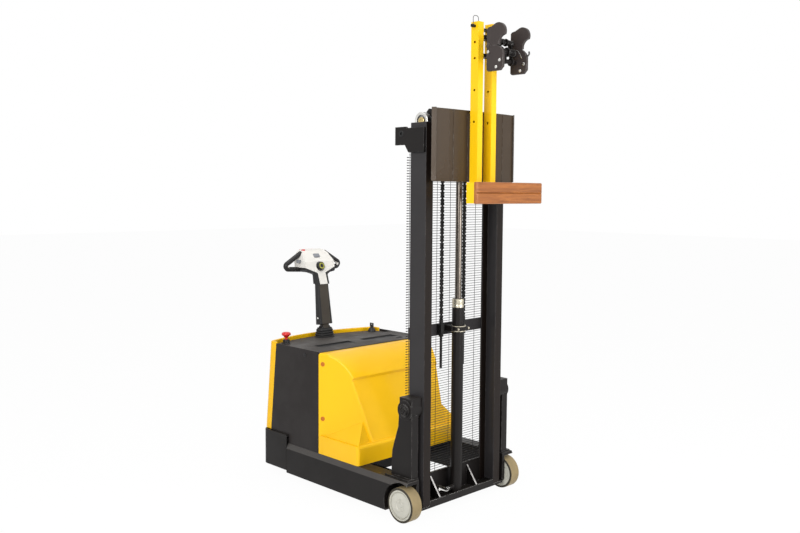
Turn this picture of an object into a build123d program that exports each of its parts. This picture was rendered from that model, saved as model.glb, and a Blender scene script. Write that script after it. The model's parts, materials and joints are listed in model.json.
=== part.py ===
"""Counterbalanced drum lifter: chassis, fixed mast, lifting carriage and a twin-beak drum gripper.

Millimetres, Z up from the floor. The machine looks towards -Y, and X = 0 is its middle plane.
Most places along Y are told as a distance behind the mast's front face, through behind().
"""

import os
from itertools import combinations
from math import cos, radians, sin

from build123d import *

os.makedirs("parts", exist_ok=True)

# Clearances.
run_fit = 0.05
slip_gap = 0.4
move_gap = 6.0

# Legs and chassis. The leg's rear end drives the length of the body, the leg's outside its width.
leg_outer = 429.0
leg_w = 97.0
leg_inner = leg_outer - leg_w
leg_bottom = 40.0
leg_top = 210.0
leg_bevel_w = 15.0
leg_bevel_h = 28.0
leg_nose = 2.0
leg_nose_fillet = 30.0
leg_rear = 974.0
skirt_bottom = 52.0
skirt_h = 207.0
skirt_top = skirt_bottom + skirt_h
skirt_len = 216.0
skirt_side = leg_rear + skirt_len
skirt_bulge = 84.0
skirt_wall = 8.0
skirt_plate = 12.0
skirt_corner = 40.0
tray_bottom = 60.0
tray_plate = 12.0
bulkhead_plate = 12.0

# Load wheels.
wheel_r = 89.0
wheel_w = 70.0
wheel_inset = 3.0
hub_r = 77.0
hub_rim = 9.0
hub_boss_r = 24.0
axle_back = 45.0
axle_r = 15.0
arch_r = 112.0

# Covers and deck.
deck_z = 776.0
deck_plate = 12.0
console_drop = 14.0
console_z = deck_z - console_drop
cover_inset = 16.0
cover_half = leg_outer - cover_inset
panel_sheet = 4.0
lid_len = 271.0
panel_front = leg_rear - lid_len
panel_tail = 114.0
panel_rear_top = leg_rear + panel_tail
cover_lean = 53.0
panel_rear_foot = panel_rear_top + cover_lean
cover_wall = 12.0
rear_wall = 14.0
rear_rim = 8.0
rear_rim_z = deck_z + rear_rim
rear_rim_w = 58.0
rear_side_top = panel_rear_top + rear_rim_w
rear_side_foot = panel_rear_foot + rear_rim_w - 2
lid_seam = leg_rear - move_gap
hood_len = 197.0
hood_face = panel_front - hood_len
hood_flare_out = 133.0
hood_flare = hood_face - hood_flare_out
hood_taper = 0.42
hood_round = 16.0
hood_rim_round = 14.0
brow_drop = 120.0
brow_lip = 7.0
brow_lip_h = 15.0
crown_len = 40.0
shoulder_back = 65.0
shoulder_rise = 78.0
sill_h = 102.0
sill_deep = 24.0
flare_h = 110.0
flare_in = 8.0
tray_len = 374.0
tray_front = leg_rear - tray_len

# Inside the body.
battery_h = 310.0
battery_gap = 6.0
terminal_r = 10.0
terminal_h = 18.0
pump_w = 280.0
pump_len = 200.0
pump_h = 210.0
pump_valve_h = 50.0
pump_motor_r = 62.0
pump_cap_r = 22.0

# Steering, tiller and drive.
steer_ahead = 174.0
steer_back = leg_rear + steer_ahead
tilt_rise = 39.0
tilt_z = deck_z + tilt_rise
column_lean = 6.2
column_len = 288.0
head_deep = 127.0
belly_travel = 10.0
belly_t = 12.0
grip_r = 15.0
drive_r = 100.0
drive_w = 75.0
turret_r = 90.0
drive_axle_r = 16.0

# Mast. Heights on the mast and carriage are told from its top.
mast_gap = 28.0
mast_half = leg_inner - mast_gap
mast_depth = 108.0
mast_web = 10.0
mast_flange_t = 9.0
mast_flange_w = 52.0
mast_top = 2000.0
foot_z = 45.0
foot_plate = 12.0
foot_lip = 24.0
foot_back = 128.0
rib_t = 10.0
rib_in = 106.0
tie_t = 10.0
tie_h = 63.0
tie_high = mast_top / 2 - 32
tie_low = tie_high - tie_h
top_tie_h = 80.0
top_tie_drop = 40.0
tower_z = 563.0
tower_back = 58.0
tower_boss_r = 50.0
tower_t = 46.0
tower_foot = 24.0
tower_ear = 62.0
tower_pin_r = 16.0
lug_t = 14.0
lug_hole_r = 13.0
lug_hole_back = 162.0
lug_hole_drop = 53.0
mesh_pitch = 13.3
mesh_wire = 4.0
mesh_low = 150.0
mesh_high = mast_top - top_tie_drop

# Lift cylinder, ram and chains.
cyl_back = 50.0
barrel_r = 31.0
bore_r = 22.0
gland_r = 28.0
gland_h = 46.0
gland_over = 131.0
gland_top = tie_high + gland_over
rod_r = 17.5
rod_low = tie_high + 10
sheave_drop = 55.0
sheave_z = mast_top - sheave_drop
head_block_h = 60.0
head_block_z = sheave_z + 20 - head_block_h
sheave_pitch_r = 35.0
sheave_x = 87.0
sheave_w = 30.0
sheave_flange_r = 44.0
sheave_pin_r = 10.0
chain_w = 16.0
chain_t = 11.0
anchor_h = 20.0
anchor_top = tie_high + anchor_h

# Carriage, at the top of its travel as in the picture.
roller_over = 7.0
roller_high = mast_top + roller_over
roller_span = 250.0
roller_low = roller_high - roller_span
carriage_anchor_z = roller_low + 3
plate_half = mast_half + 1
plate_front = -65.6
plate_t = 8.0
plate_low = roller_low - 49
plate_high = roller_high + 59
wing_w = 113.0
wing_x = plate_half - wing_w
wing_back = 9.0
groove_w = 30.0
groove_deep = 3.0
frame_plate_t = 20.0
frame_plate_out = mast_half - mast_flange_w - move_gap
frame_plate_in = frame_plate_out - frame_plate_t
frame_bar_h = 50.0
roller_w = 30.0
roller_axle_r = 12.0

# Gripper.
post_in = 34.0
post_out = 72.5
post_front = -130.0
post_rear = -81.0
post_wall = 4.0
post_low = plate_low - 103
post_rise = 434.0
post_high = plate_high + post_rise
pin_z = post_high - 22
pin_r = 6.5
pin_steps = (0, 78.5, 157, 314, 471)
bumper_front = -290.7
plank_t = 18.0
plank_back = bumper_front + plank_t
bumper_back = -225.0
bumper_half = 259.0
bumper_low = post_low - 5
bumper_h = 105.0
bumper_high = bumper_low + bumper_h
rail_wall = 8.0
rail_inset = 2.0
jaw_in = 85.0
jaw_t = 15.0
jaw_cheek = 3.5
jaw_rear = -206.0
jaw_base_z = post_high - 257
jaw_pivot = (8.0, 122.0)
jaw_pivot_r = 6.0
beak_nose = (68.0, 184.0)
beak_nose_r = 44.0

# Overall reach either side of the mast's front face, from the beaks to the belly button, which puts
# the origin under the middle of the box.
front_reach = beak_nose[0] + beak_nose_r - jaw_rear
neck_back = steer_back + column_len * sin(radians(column_lean))
rear_reach = neck_back + head_deep + belly_travel + slip_gap + belly_t
mast_y = (front_reach - rear_reach) / 2

SIDES = (("right", -1), ("left", 1))


def behind(distance):
    """Y of a place told as its distance behind the mast's front face."""
    return mast_y + distance


def block(x, y, z, mode=Mode.ADD):
    """A box given by its low and high end along X, Y and Z."""
    with Locations(((x[0] + x[1]) / 2, (y[0] + y[1]) / 2, (z[0] + z[1]) / 2)):
        Box(abs(x[1] - x[0]), abs(y[1] - y[0]), abs(z[1] - z[0]), mode=mode)


def bar_x(radius, x, y, z, mode=Mode.ADD):
    """A round bar along X between two ends."""
    with Locations(Location(((x[0] + x[1]) / 2, y, z), (0, 90, 0))):
        Cylinder(radius, abs(x[1] - x[0]), mode=mode)


def bar_z(radius, x, y, z, mode=Mode.ADD):
    """A round bar along Z between two ends."""
    with Locations((x, y, (z[0] + z[1]) / 2)):
        Cylinder(radius, z[1] - z[0], mode=mode)


def finish(piece, name):
    """Label a finished piece and write its own STEP file."""
    piece.part.label = name
    export_step(piece.part, f"parts/{name}.step")


# Straddle legs: box beams with a bevelled shoulder and a round arch for the wheel.
axle_y = behind(axle_back)
wheel_out = leg_outer - wheel_inset
wheel_in = wheel_out - wheel_w
pocket_x = wheel_in - move_gap
axle_end = wheel_out - 11
for name, side in SIDES:
    with BuildPart() as leg:
        with BuildSketch(Plane.XZ.offset(-behind(leg_rear))):
            with BuildLine():
                Polyline(
                    (side * leg_inner, leg_bottom),
                    (side * leg_outer, leg_bottom),
                    (side * leg_outer, leg_top - leg_bevel_h),
                    (side * (leg_outer - leg_bevel_w), leg_top),
                    (side * leg_inner, leg_top),
                    close=True,
                )
            make_face()
        extrude(amount=leg_rear - leg_nose)
        with BuildSketch(Plane.YZ.offset(side * pocket_x)):
            with Locations((axle_y, wheel_r)):
                Circle(arch_r)
        extrude(amount=side * leg_outer, mode=Mode.SUBTRACT)
        nose = leg.edges().filter_by(Axis.X).group_by(Axis.Y)[0].sort_by(Axis.Z)[0]
        fillet(nose, leg_nose_fillet)
        bar_x(axle_r, (side * pocket_x, side * axle_end), axle_y, wheel_r)
    finish(leg, f"leg_{name}")

# Load wheels: a moulded tyre on a dished hub, turning on the leg's stub axle.
for name, side in SIDES:
    with BuildPart() as load_tyre:
        with BuildSketch(Plane.YZ.offset(side * wheel_in)):
            with Locations((axle_y, wheel_r)):
                Circle(wheel_r)
                Circle(hub_r, mode=Mode.SUBTRACT)
        extrude(amount=side * wheel_w)
        chamfer(load_tyre.edges().filter_by(GeomType.CIRCLE).group_by(SortBy.RADIUS)[-1], 3)
    finish(load_tyre, f"load_tyre_{name}")
    with BuildPart() as load_hub:
        with BuildSketch(Plane.YZ.offset(side * (wheel_in + 1))):
            with Locations((axle_y, wheel_r)):
                Circle(hub_r)
        extrude(amount=side * (wheel_w - 2))
        with BuildSketch(Plane.YZ.offset(side * (wheel_out - 4))):
            with Locations((axle_y, wheel_r)):
                Circle(hub_r - hub_rim)
                Circle(hub_boss_r, mode=Mode.SUBTRACT)
        extrude(amount=side * 4, mode=Mode.SUBTRACT)
        bore = (side * wheel_in, side * (axle_end + slip_gap))
        bar_x(axle_r + run_fit, bore, axle_y, wheel_r, Mode.SUBTRACT)
    finish(load_hub, f"load_hub_{name}")

# Tray between the legs: a low floor at the back, a step up to the hood's floor, and the bulkhead of the deck.
panel_in = cover_half - panel_sheet
deck_low = deck_z - deck_plate
bulkhead_front = leg_rear - bulkhead_plate
with BuildPart() as chassis_tray:
    across = (-leg_inner, leg_inner)
    bulkhead = (behind(bulkhead_front), behind(leg_rear))
    block(across, (behind(tray_front), behind(leg_rear)), (tray_bottom, tray_bottom + tray_plate))
    block(across, (behind(tray_front), behind(tray_front + tray_plate)), (tray_bottom, leg_top))
    block(across, (behind(hood_flare + 12), behind(tray_front)), (leg_top - tray_plate, leg_top))
    block(across, bulkhead, (tray_bottom, leg_top))
    block((-panel_in, panel_in), bulkhead, (leg_top, deck_low))
finish(chassis_tray, "chassis_tray")

# Rear skirt: a bowed wall with a top plate that the drive turret turns in.
steer_y = behind(steer_back)
with BuildPart() as rear_skirt:
    with BuildSketch(Plane.XY.offset(skirt_bottom)):
        with BuildLine():
            Polyline(
                (-leg_outer, behind(skirt_side)),
                (-leg_outer, behind(leg_rear)),
                (leg_outer, behind(leg_rear)),
                (leg_outer, behind(skirt_side)),
            )
            ThreePointArc(
                (leg_outer, behind(skirt_side)),
                (0, behind(skirt_side + skirt_bulge)),
                (-leg_outer, behind(skirt_side)),
            )
        make_face()
    extrude(amount=skirt_top - skirt_bottom)
    fillet(rear_skirt.edges().filter_by(Axis.Z).group_by(Axis.Y)[-1], skirt_corner)
    with BuildSketch(Plane.XY.offset(skirt_bottom)):
        with BuildLine():
            inner_x = leg_outer - skirt_wall
            inner_y = skirt_side - skirt_wall
            Polyline(
                (-inner_x + 20, behind(inner_y)),
                (-inner_x, behind(inner_y - 30)),
                (-inner_x, behind(leg_rear)),
                (inner_x, behind(leg_rear)),
                (inner_x, behind(inner_y - 30)),
                (inner_x - 20, behind(inner_y)),
            )
            ThreePointArc(
                (inner_x - 20, behind(inner_y)),
                (0, behind(inner_y + skirt_bulge)),
                (-inner_x + 20, behind(inner_y)),
            )
        make_face()
    extrude(amount=skirt_top - skirt_bottom - skirt_plate, mode=Mode.SUBTRACT)
    bar_z(turret_r, 0, steer_y, (skirt_top - skirt_plate, skirt_top), Mode.SUBTRACT)
finish(rear_skirt, "rear_skirt")

# Side panels: black sheets on the legs, leaning at the back to follow the rear cover.
with BuildPart() as side_panels:
    for name, side in SIDES:
        with BuildSketch(Plane.YZ.offset(side * panel_in)):
            with BuildLine():
                Polyline(
                    (behind(panel_front), leg_top),
                    (behind(leg_rear), leg_top),
                    (behind(leg_rear), skirt_top),
                    (behind(panel_rear_foot), skirt_top),
                    (behind(panel_rear_top), deck_z),
                    (behind(panel_front), deck_z),
                    close=True,
                )
            make_face()
        extrude(amount=side * panel_sheet)
finish(side_panels, "side_panels")

# Front cover: a moulded hood with tapering sides, a leaning face under a brow, and a wide sill.
hood_rear = panel_front - 3
hood_top = deck_z - 6
brow_z = hood_top - brow_drop
sill_top = leg_top + sill_h
face_foot = hood_flare + sill_deep


def hood_side(back, wall=0.0):
    """Half the hood's width at a distance behind the mast's front face."""
    return cover_half - wall - hood_taper * (hood_rear - back)


def hood_plan(front, wall=0.0):
    """The hood's outline from above: full width at the back, narrower towards the front."""
    narrow = hood_side(front, wall)
    wide = hood_side(hood_rear, wall)
    Polyline(
        (-narrow, behind(front)),
        (-wide, behind(hood_rear)),
        (wide, behind(hood_rear)),
        (narrow, behind(front)),
        close=True,
    )


def hood_profile(wall=0.0):
    """The hood's outline from the side, a wall's thickness inside its outer skin."""
    rear_top = (behind(hood_rear), hood_top - wall)
    crown = (behind(hood_rear - crown_len), hood_top - wall)
    shoulder = (behind(hood_face + shoulder_back + wall / 2), brow_z + shoulder_rise - wall)
    brow = (behind(hood_face + wall), brow_z - wall / 2)
    Line(rear_top, crown)
    ThreePointArc(crown, shoulder, brow)
    Polyline(
        brow,
        (behind(hood_face + brow_lip + wall), brow_z - brow_lip_h - wall / 2),
        (behind(face_foot + wall), sill_top),
        (behind(face_foot + wall), leg_top),
        (behind(hood_rear), leg_top),
        rear_top,
    )


with BuildPart() as front_cover:
    with BuildSketch(Plane.XY.offset(leg_top)):
        with BuildLine():
            hood_plan(hood_flare)
        make_face()
    extrude(amount=hood_top - leg_top)
    with BuildSketch(Plane.YZ.offset(-cover_half)):
        with BuildLine():
            hood_profile()
        make_face()
    extrude(amount=2 * cover_half, mode=Mode.INTERSECT)
    ahead = front_cover.edges().filter_by(lambda e: e.center().Y < behind(hood_rear) - 1)
    high = ahead.filter_by(lambda e: e.center().Z > sill_top)
    fillet(high.filter_by(lambda e: abs(e.center().X) > 1 and e.length > 2 * brow_lip_h), hood_rim_round)
    block((-cover_half, cover_half), (behind(hood_flare), behind(hood_rear)), (leg_top, sill_top))
    sill_front = front_cover.edges().filter_by(lambda e: abs(e.center().Y - behind(hood_flare)) < 0.1)
    fillet(sill_front.filter_by(lambda e: e.center().Z > leg_top + 1), hood_round)
    flare_low = sill_top - hood_round
    flare_back = face_foot + flare_h / 2
    for name, side in SIDES:
        flare_tip = (side * (cover_half - flare_in), behind(hood_flare + flare_in), flare_low)
        flare_tail = (side * (cover_half - 1), behind(hood_rear - flare_in), flare_low)
        flare_foot = (side * (hood_side(face_foot) - flare_in), behind(face_foot + flare_in), flare_low)
        flare_high = (side * (hood_side(flare_back) - 3), behind(flare_back + 3), sill_top + flare_h)
        corners = (flare_tip, flare_tail, flare_foot, flare_high)
        flare_faces = []
        for ring in combinations(corners, 3):
            flare_faces.append(Face(Wire.make_polygon(ring, close=True)))
        add(Solid(Shell(flare_faces)))
    with BuildPart(mode=Mode.PRIVATE) as hood_hollow:
        with BuildSketch(Plane.XY.offset(leg_top)):
            with BuildLine():
                hood_plan(hood_flare, cover_wall)
            make_face()
        extrude(amount=hood_top - leg_top)
        with BuildSketch(Plane.YZ.offset(-cover_half)):
            with BuildLine():
                hood_profile(cover_wall)
            make_face()
        extrude(amount=2 * cover_half, mode=Mode.INTERSECT)
    add(hood_hollow.part, mode=Mode.SUBTRACT)
    block(
        (-cover_half + cover_wall, cover_half - cover_wall),
        (behind(hood_flare + cover_wall), behind(hood_rear)),
        (leg_top, flare_low - cover_wall),
        Mode.SUBTRACT,
    )
finish(front_cover, "front_cover")

# Rear cover: a leaning U-shaped shell between the skirt and the console.
with BuildPart() as rear_cover:
    for z, side_y, front_y in (
        (skirt_top, rear_side_foot, panel_rear_foot),
        (rear_rim_z, rear_side_top, panel_rear_top),
    ):
        with BuildSketch(Plane.XY.offset(z)):
            with BuildLine():
                Polyline(
                    (-cover_half, behind(side_y)),
                    (-cover_half, behind(front_y)),
                    (cover_half, behind(front_y)),
                    (cover_half, behind(side_y)),
                )
                ThreePointArc(
                    (cover_half, behind(side_y)),
                    (0, behind(side_y + skirt_bulge - 4)),
                    (-cover_half, behind(side_y)),
                )
            make_face()
            fillet(vertices().group_by(Axis.Y)[-1], 30)
    loft()
    for z, side_y, front_y in (
        (skirt_top, rear_side_foot, panel_rear_foot),
        (rear_rim_z, rear_side_top, panel_rear_top),
    ):
        with BuildSketch(Plane.XY.offset(z)):
            with BuildLine():
                inner_x = cover_half - rear_wall
                inner_y = side_y - rear_wall
                Polyline(
                    (-inner_x, behind(inner_y)),
                    (-inner_x, behind(front_y - 20)),
                    (inner_x, behind(front_y - 20)),
                    (inner_x, behind(inner_y)),
                )
                ThreePointArc(
                    (inner_x, behind(inner_y)),
                    (0, behind(inner_y + skirt_bulge - 4)),
                    (-inner_x, behind(inner_y)),
                )
            make_face()
            fillet(vertices().group_by(Axis.Y)[-1], 18)
    loft(mode=Mode.SUBTRACT)
finish(rear_cover, "rear_cover")

# Console: the rear half of the deck, a step below the lid, with a hole for the steering post and two collars.
stop_x, stop_y = -cover_half + 82, behind(steer_back - 48)
key_x, key_y = cover_half - 61, behind(steer_back - 48)
stop_stem_r = 9.0
key_stem_r = 4.0
console_x = cover_half - rear_wall - 2
console_side = rear_side_top - rear_wall - 6
console_low = console_z - deck_plate
with BuildPart() as console:
    with BuildSketch(Plane.XY.offset(console_low)):
        with BuildLine():
            Polyline(
                (-console_x, behind(console_side)),
                (-console_x, behind(panel_rear_top - 2)),
                (-panel_in + slip_gap, behind(panel_rear_top - 2)),
                (-panel_in + slip_gap, behind(leg_rear)),
                (panel_in - slip_gap, behind(leg_rear)),
                (panel_in - slip_gap, behind(panel_rear_top - 2)),
                (console_x, behind(panel_rear_top - 2)),
                (console_x, behind(console_side)),
            )
            ThreePointArc(
                (console_x, behind(console_side)),
                (0, behind(console_side + skirt_bulge - 4)),
                (-console_x, behind(console_side)),
            )
        make_face()
    extrude(amount=deck_plate)
    bar_z(30, 0, steer_y, (console_low, console_z), Mode.SUBTRACT)
    bar_z(17, stop_x, stop_y, (console_z, deck_z + 12))
    bar_z(stop_stem_r + run_fit, stop_x, stop_y, (console_low, deck_z + 12), Mode.SUBTRACT)
    bar_z(15, key_x, key_y, (console_z, deck_z + 10))
    bar_z(key_stem_r + run_fit, key_x, key_y, (console_low, deck_z + 10), Mode.SUBTRACT)
finish(console, "console")

# Emergency stop: a red mushroom on a stem, pressed down by hand.
with BuildPart() as estop_button:
    bar_z(stop_stem_r, stop_x, stop_y, (console_low - 8, deck_z + 36))
    with BuildSketch(Plane.XY.offset(deck_z + 34)):
        with Locations((stop_x, stop_y)):
            Circle(27)
    extrude(amount=22)
    fillet(estop_button.edges().group_by(Axis.Z)[-1], 10)
finish(estop_button, "estop_button")

# Key in its switch.
with BuildPart() as key:
    bar_z(key_stem_r, key_x, key_y, (console_low, deck_z + 14))
    bar_z(11, key_x, key_y, (deck_z + 10 + slip_gap, deck_z + 16))
    block((key_x - 3, key_x + 3), (key_y - 15, key_y + 15), (deck_z + 16, deck_z + 42))
    bar_x(5, (key_x - 3, key_x + 3), key_y, deck_z + 33, Mode.SUBTRACT)
finish(key, "key")

# Battery lid: the front half of the deck, with two sloping hand pockets.
with BuildPart() as battery_lid:
    lid_x = panel_in - slip_gap
    block((-lid_x, lid_x), (behind(panel_front), behind(lid_seam)), (deck_low, deck_z))
    for name, side in SIDES:
        with BuildSketch(Plane.YZ.offset(side * 45)):
            with BuildLine():
                Polyline(
                    (behind(lid_seam - 168), deck_z),
                    (behind(lid_seam - 88), deck_z),
                    (behind(lid_seam - 88), deck_low + 3),
                    (behind(lid_seam - 106), deck_low + 3),
                    close=True,
                )
            make_face()
        extrude(amount=side * (panel_in - 149), mode=Mode.SUBTRACT)
    chamfer(battery_lid.edges().filter_by(Axis.X).group_by(Axis.Y)[0].sort_by(Axis.Z)[-1], 4)
finish(battery_lid, "battery_lid")

# Inside: counterweight on the tray, four batteries over it, and the hydraulic pump unit.
with BuildPart() as counterweight:
    block(
        (-leg_inner + 2, leg_inner - 2),
        (behind(tray_front + tray_plate + 4), behind(bulkhead_front - 4)),
        (tray_bottom + tray_plate, leg_top),
    )
finish(counterweight, "counterweight")

battery_pitch = (panel_in - 29) / 2
battery_top = leg_top + battery_h
with BuildPart() as batteries:
    for place in (-1.5, -0.5, 0.5, 1.5):
        x = place * battery_pitch
        wide = (battery_pitch - battery_gap) / 2
        block(
            (x - wide, x + wide),
            (behind(panel_front + 12), behind(bulkhead_front - battery_gap)),
            (leg_top, battery_top),
        )
        for y in (panel_front + 57, bulkhead_front - 47):
            bar_z(terminal_r, x, behind(y), (battery_top, battery_top + terminal_h))
finish(batteries, "batteries")

pump_x = -cover_half + 173
pump_rear = panel_front - 13
pump_y = behind(pump_rear - pump_len / 2)
pump_top = leg_top + pump_h
valve_top = pump_top + pump_valve_h
with BuildPart() as pump_unit:
    block((pump_x, pump_x + pump_w), (behind(pump_rear - pump_len), behind(pump_rear)), (leg_top, pump_top))
    block((pump_x + 180, pump_x + 330), (pump_y - 55, pump_y + 55), (pump_top, valve_top))
    bar_z(pump_motor_r, pump_x + 100, pump_y, (pump_top, 2 * pump_top - leg_top))
    bar_z(pump_cap_r, pump_x + 270, pump_y, (valve_top, valve_top + 50))
finish(pump_unit, "pump_unit")

# Mast channels: two C-sections opening towards each other.
flange_in = mast_half - mast_flange_w
channel_low = foot_z + foot_plate
for name, side in SIDES:
    with BuildPart() as mast_channel:
        with BuildSketch(Plane.XY.offset(channel_low)):
            with BuildLine():
                Polyline(
                    (side * mast_half, behind(0)),
                    (side * mast_half, behind(mast_depth)),
                    (side * flange_in, behind(mast_depth)),
                    (side * flange_in, behind(mast_depth - mast_flange_t)),
                    (side * (mast_half - mast_web), behind(mast_depth - mast_flange_t)),
                    (side * (mast_half - mast_web), behind(mast_flange_t)),
                    (side * flange_in, behind(mast_flange_t)),
                    (side * flange_in, behind(0)),
                    close=True,
                )
            make_face()
        extrude(amount=mast_top - channel_low)
    finish(mast_channel, f"mast_channel_{name}")

# Lifting lugs: plates on the outside of the channels with an eye at the back.
with BuildPart() as lifting_lugs:
    for name, side in SIDES:
        with BuildSketch(Plane.YZ.offset(side * mast_half)):
            with BuildLine():
                Polyline(
                    (behind(3), mast_top - 148),
                    (behind(mast_depth + 4), mast_top - 148),
                    (behind(mast_depth + 30), mast_top - 110),
                    (behind(lug_hole_back + 44), mast_top - 110),
                    (behind(lug_hole_back + 44), mast_top - 19),
                    (behind(mast_depth + 22), mast_top - 19),
                    (behind(mast_depth + 18), mast_top - 26),
                    (behind(3), mast_top - 26),
                    close=True,
                )
            make_face()
            with Locations((behind(lug_hole_back), mast_top - lug_hole_drop)):
                Circle(lug_hole_r, mode=Mode.SUBTRACT)
        extrude(amount=side * lug_t)
finish(lifting_lugs, "lifting_lugs")

# Ties across the back of the channels.
with BuildPart() as mast_ties:
    top_tie = mast_top - top_tie_drop
    for low, high in ((tie_low, tie_high), (top_tie - top_tie_h, top_tie)):
        block((-mast_half, mast_half), (behind(mast_depth), behind(mast_depth + tie_t)), (low, high))
finish(mast_ties, "mast_ties")

# Foot: plate under the channels, a front lip, a rear plate and two ribs.
pipe_x, pipe_z, pipe_r = -75.0, 92.0, 7.0
with BuildPart() as mast_foot:
    block((-leg_inner, leg_inner), (behind(0), behind(mast_depth)), (foot_z, channel_low))
    block((-flange_in, flange_in), (behind(0), behind(mast_flange_t)), (channel_low, channel_low + foot_lip))
    block(
        (-flange_in, flange_in),
        (behind(mast_depth - mast_flange_t), behind(mast_depth)),
        (channel_low, channel_low + foot_back),
    )
    for side in (-1, 1):
        with BuildSketch(Plane.YZ.offset(side * (flange_in - rib_in) - rib_t / 2)):
            with BuildLine():
                Polyline(
                    (behind(20), channel_low),
                    (behind(mast_depth - mast_flange_t), channel_low + foot_back - 20),
                    (behind(mast_depth - mast_flange_t), channel_low),
                    close=True,
                )
            make_face()
        extrude(amount=rib_t)
    with Locations(Location((pipe_x, behind(mast_depth), pipe_z), (90, 0, 0))):
        Cylinder(pipe_r + 1, 40, mode=Mode.SUBTRACT)
finish(mast_foot, "mast_foot")

# Mesh guard: one sheet of crossing wires; the picture's finer uprights are drawn in the looks model.
mesh_rows = int((mesh_high - mesh_low) // mesh_pitch)
mesh_half = mast_half - 1
mesh_bay = mesh_half - 1.5 * mesh_wire
with BuildPart() as mesh_guard:
    with BuildSketch(Plane.XZ.offset(-behind(mast_depth + tie_t))):
        with Locations((0, mesh_low + (mesh_rows * mesh_pitch + mesh_wire) / 2)):
            Rectangle(2 * mesh_half, mesh_rows * mesh_pitch + mesh_wire)
            with GridLocations(mesh_half - mesh_wire / 2, mesh_pitch, 2, mesh_rows):
                Rectangle(mesh_bay, mesh_pitch - mesh_wire, mode=Mode.SUBTRACT)
    extrude(amount=-mesh_wire)
finish(mesh_guard, "mesh_guard")

# Towers: flared brackets on the legs, reaching in to the channels with a round boss and an ear on top of it.
tower_out = leg_inner + tower_t
boss_out = tower_out + move_gap
with BuildPart() as mast_towers:
    for name, side in SIDES:
        with BuildSketch(Plane.YZ.offset(side * leg_inner)):
            with BuildLine():
                Polyline(
                    (behind(tower_back - 46), leg_top),
                    (behind(tower_back + 99), leg_top),
                    (behind(tower_back + 93), leg_top + 132),
                    (behind(tower_back + 78), leg_top + 180),
                    (behind(tower_back + 50), tower_z - 89),
                    (behind(tower_back + 46), tower_z - 23),
                    (behind(tower_back - 46), tower_z - 23),
                    close=True,
                )
            make_face()
            with Locations((behind(tower_back), tower_z)):
                Circle(tower_boss_r)
        extrude(amount=side * (tower_out - leg_inner))
        block(
            (side * mast_half, side * tower_out),
            (behind(tower_back - 46), behind(tower_back + 42)),
            (tower_z, tower_z + tower_ear),
        )
        block(
            (side * leg_inner, side * (tower_out + tower_foot)),
            (behind(tower_back - 50), behind(tower_back + 122)),
            (leg_top, leg_top + 9),
        )
        boss = (side * mast_half, side * boss_out)
        bar_x(tower_boss_r, boss, behind(tower_back), tower_z)
        bar_x(tower_pin_r + run_fit, boss, behind(tower_back), tower_z, Mode.SUBTRACT)
finish(mast_towers, "mast_towers")

with BuildPart() as tower_bolts:
    for name, side in SIDES:
        bar_x(tower_pin_r, (side * (mast_half + 1), side * (boss_out + 2)), behind(tower_back), tower_z)
        bar_x(tower_pin_r + 18, (side * boss_out, side * (boss_out + 4)), behind(tower_back), tower_z)
        with BuildSketch(Plane.YZ.offset(side * (boss_out + 4))):
            with Locations((behind(tower_back), tower_z)):
                RegularPolygon(25, 6)
        extrude(amount=side * 15)
finish(tower_bolts, "tower_bolts")

# Lift cylinder with a screwed gland, held to the middle tie by a clamp.
cyl_y = behind(cyl_back)
with BuildPart() as cylinder_barrel:
    bar_z(barrel_r, 0, cyl_y, (channel_low, gland_top - gland_h))
    bar_z(gland_r, 0, cyl_y, (gland_top - gland_h, gland_top))
    bar_z(bore_r, 0, cyl_y, (channel_low + 43, gland_top - 23), Mode.SUBTRACT)
    bar_z(rod_r + run_fit, 0, cyl_y, (gland_top - 23, gland_top), Mode.SUBTRACT)
    bar_x(13, (-barrel_r - 24, -barrel_r + 4), cyl_y, pipe_z)
finish(cylinder_barrel, "cylinder_barrel")

with BuildPart() as cylinder_clamp:
    block((-46, 46), (cyl_y, behind(mast_depth)), (tie_low + 22, tie_high - 10))
    bar_z(barrel_r + 9, 0, cyl_y, (tie_low + 22, tie_high - 10))
    bar_z(barrel_r, 0, cyl_y, (tie_low + 22, tie_high - 10), Mode.SUBTRACT)
finish(cylinder_clamp, "cylinder_clamp")

with BuildPart() as hydraulic_pipe:
    with BuildLine(Plane.XY.offset(pipe_z)):
        FilletPolyline(
            (-barrel_r - 24, cyl_y),
            (pipe_x, cyl_y),
            (pipe_x, behind(tray_front)),
            radius=18,
        )
    with BuildSketch(Plane(origin=(-barrel_r - 24, cyl_y, pipe_z), z_dir=(-1, 0, 0))):
        Circle(pipe_r)
    sweep()
finish(hydraulic_pipe, "hydraulic_pipe")

# Ram rod with its piston, and the crosshead that carries the two chain sheaves.
with BuildPart() as ram_rod:
    bar_z(rod_r, 0, cyl_y, (rod_low, head_block_z))
    bar_z(bore_r - run_fit, 0, cyl_y, (rod_low, rod_low + 40))
finish(ram_rod, "ram_rod")

sheave_y = behind((mast_depth / 2))
sheave_in = sheave_x - sheave_w / 2
sheave_out = sheave_x + sheave_w / 2
with BuildPart() as crosshead:
    wide = sheave_in - 3
    block((-wide, wide), (sheave_y - 24, sheave_y + 24), (head_block_z, head_block_z + head_block_h))
    bar_x(sheave_pin_r, (-sheave_out - 5, sheave_out + 5), sheave_y, sheave_z)
    for side in (-1, 1):
        bar_x(15, (side * (sheave_out + slip_gap), side * (sheave_out + 5)), sheave_y, sheave_z)
finish(crosshead, "crosshead")

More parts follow.
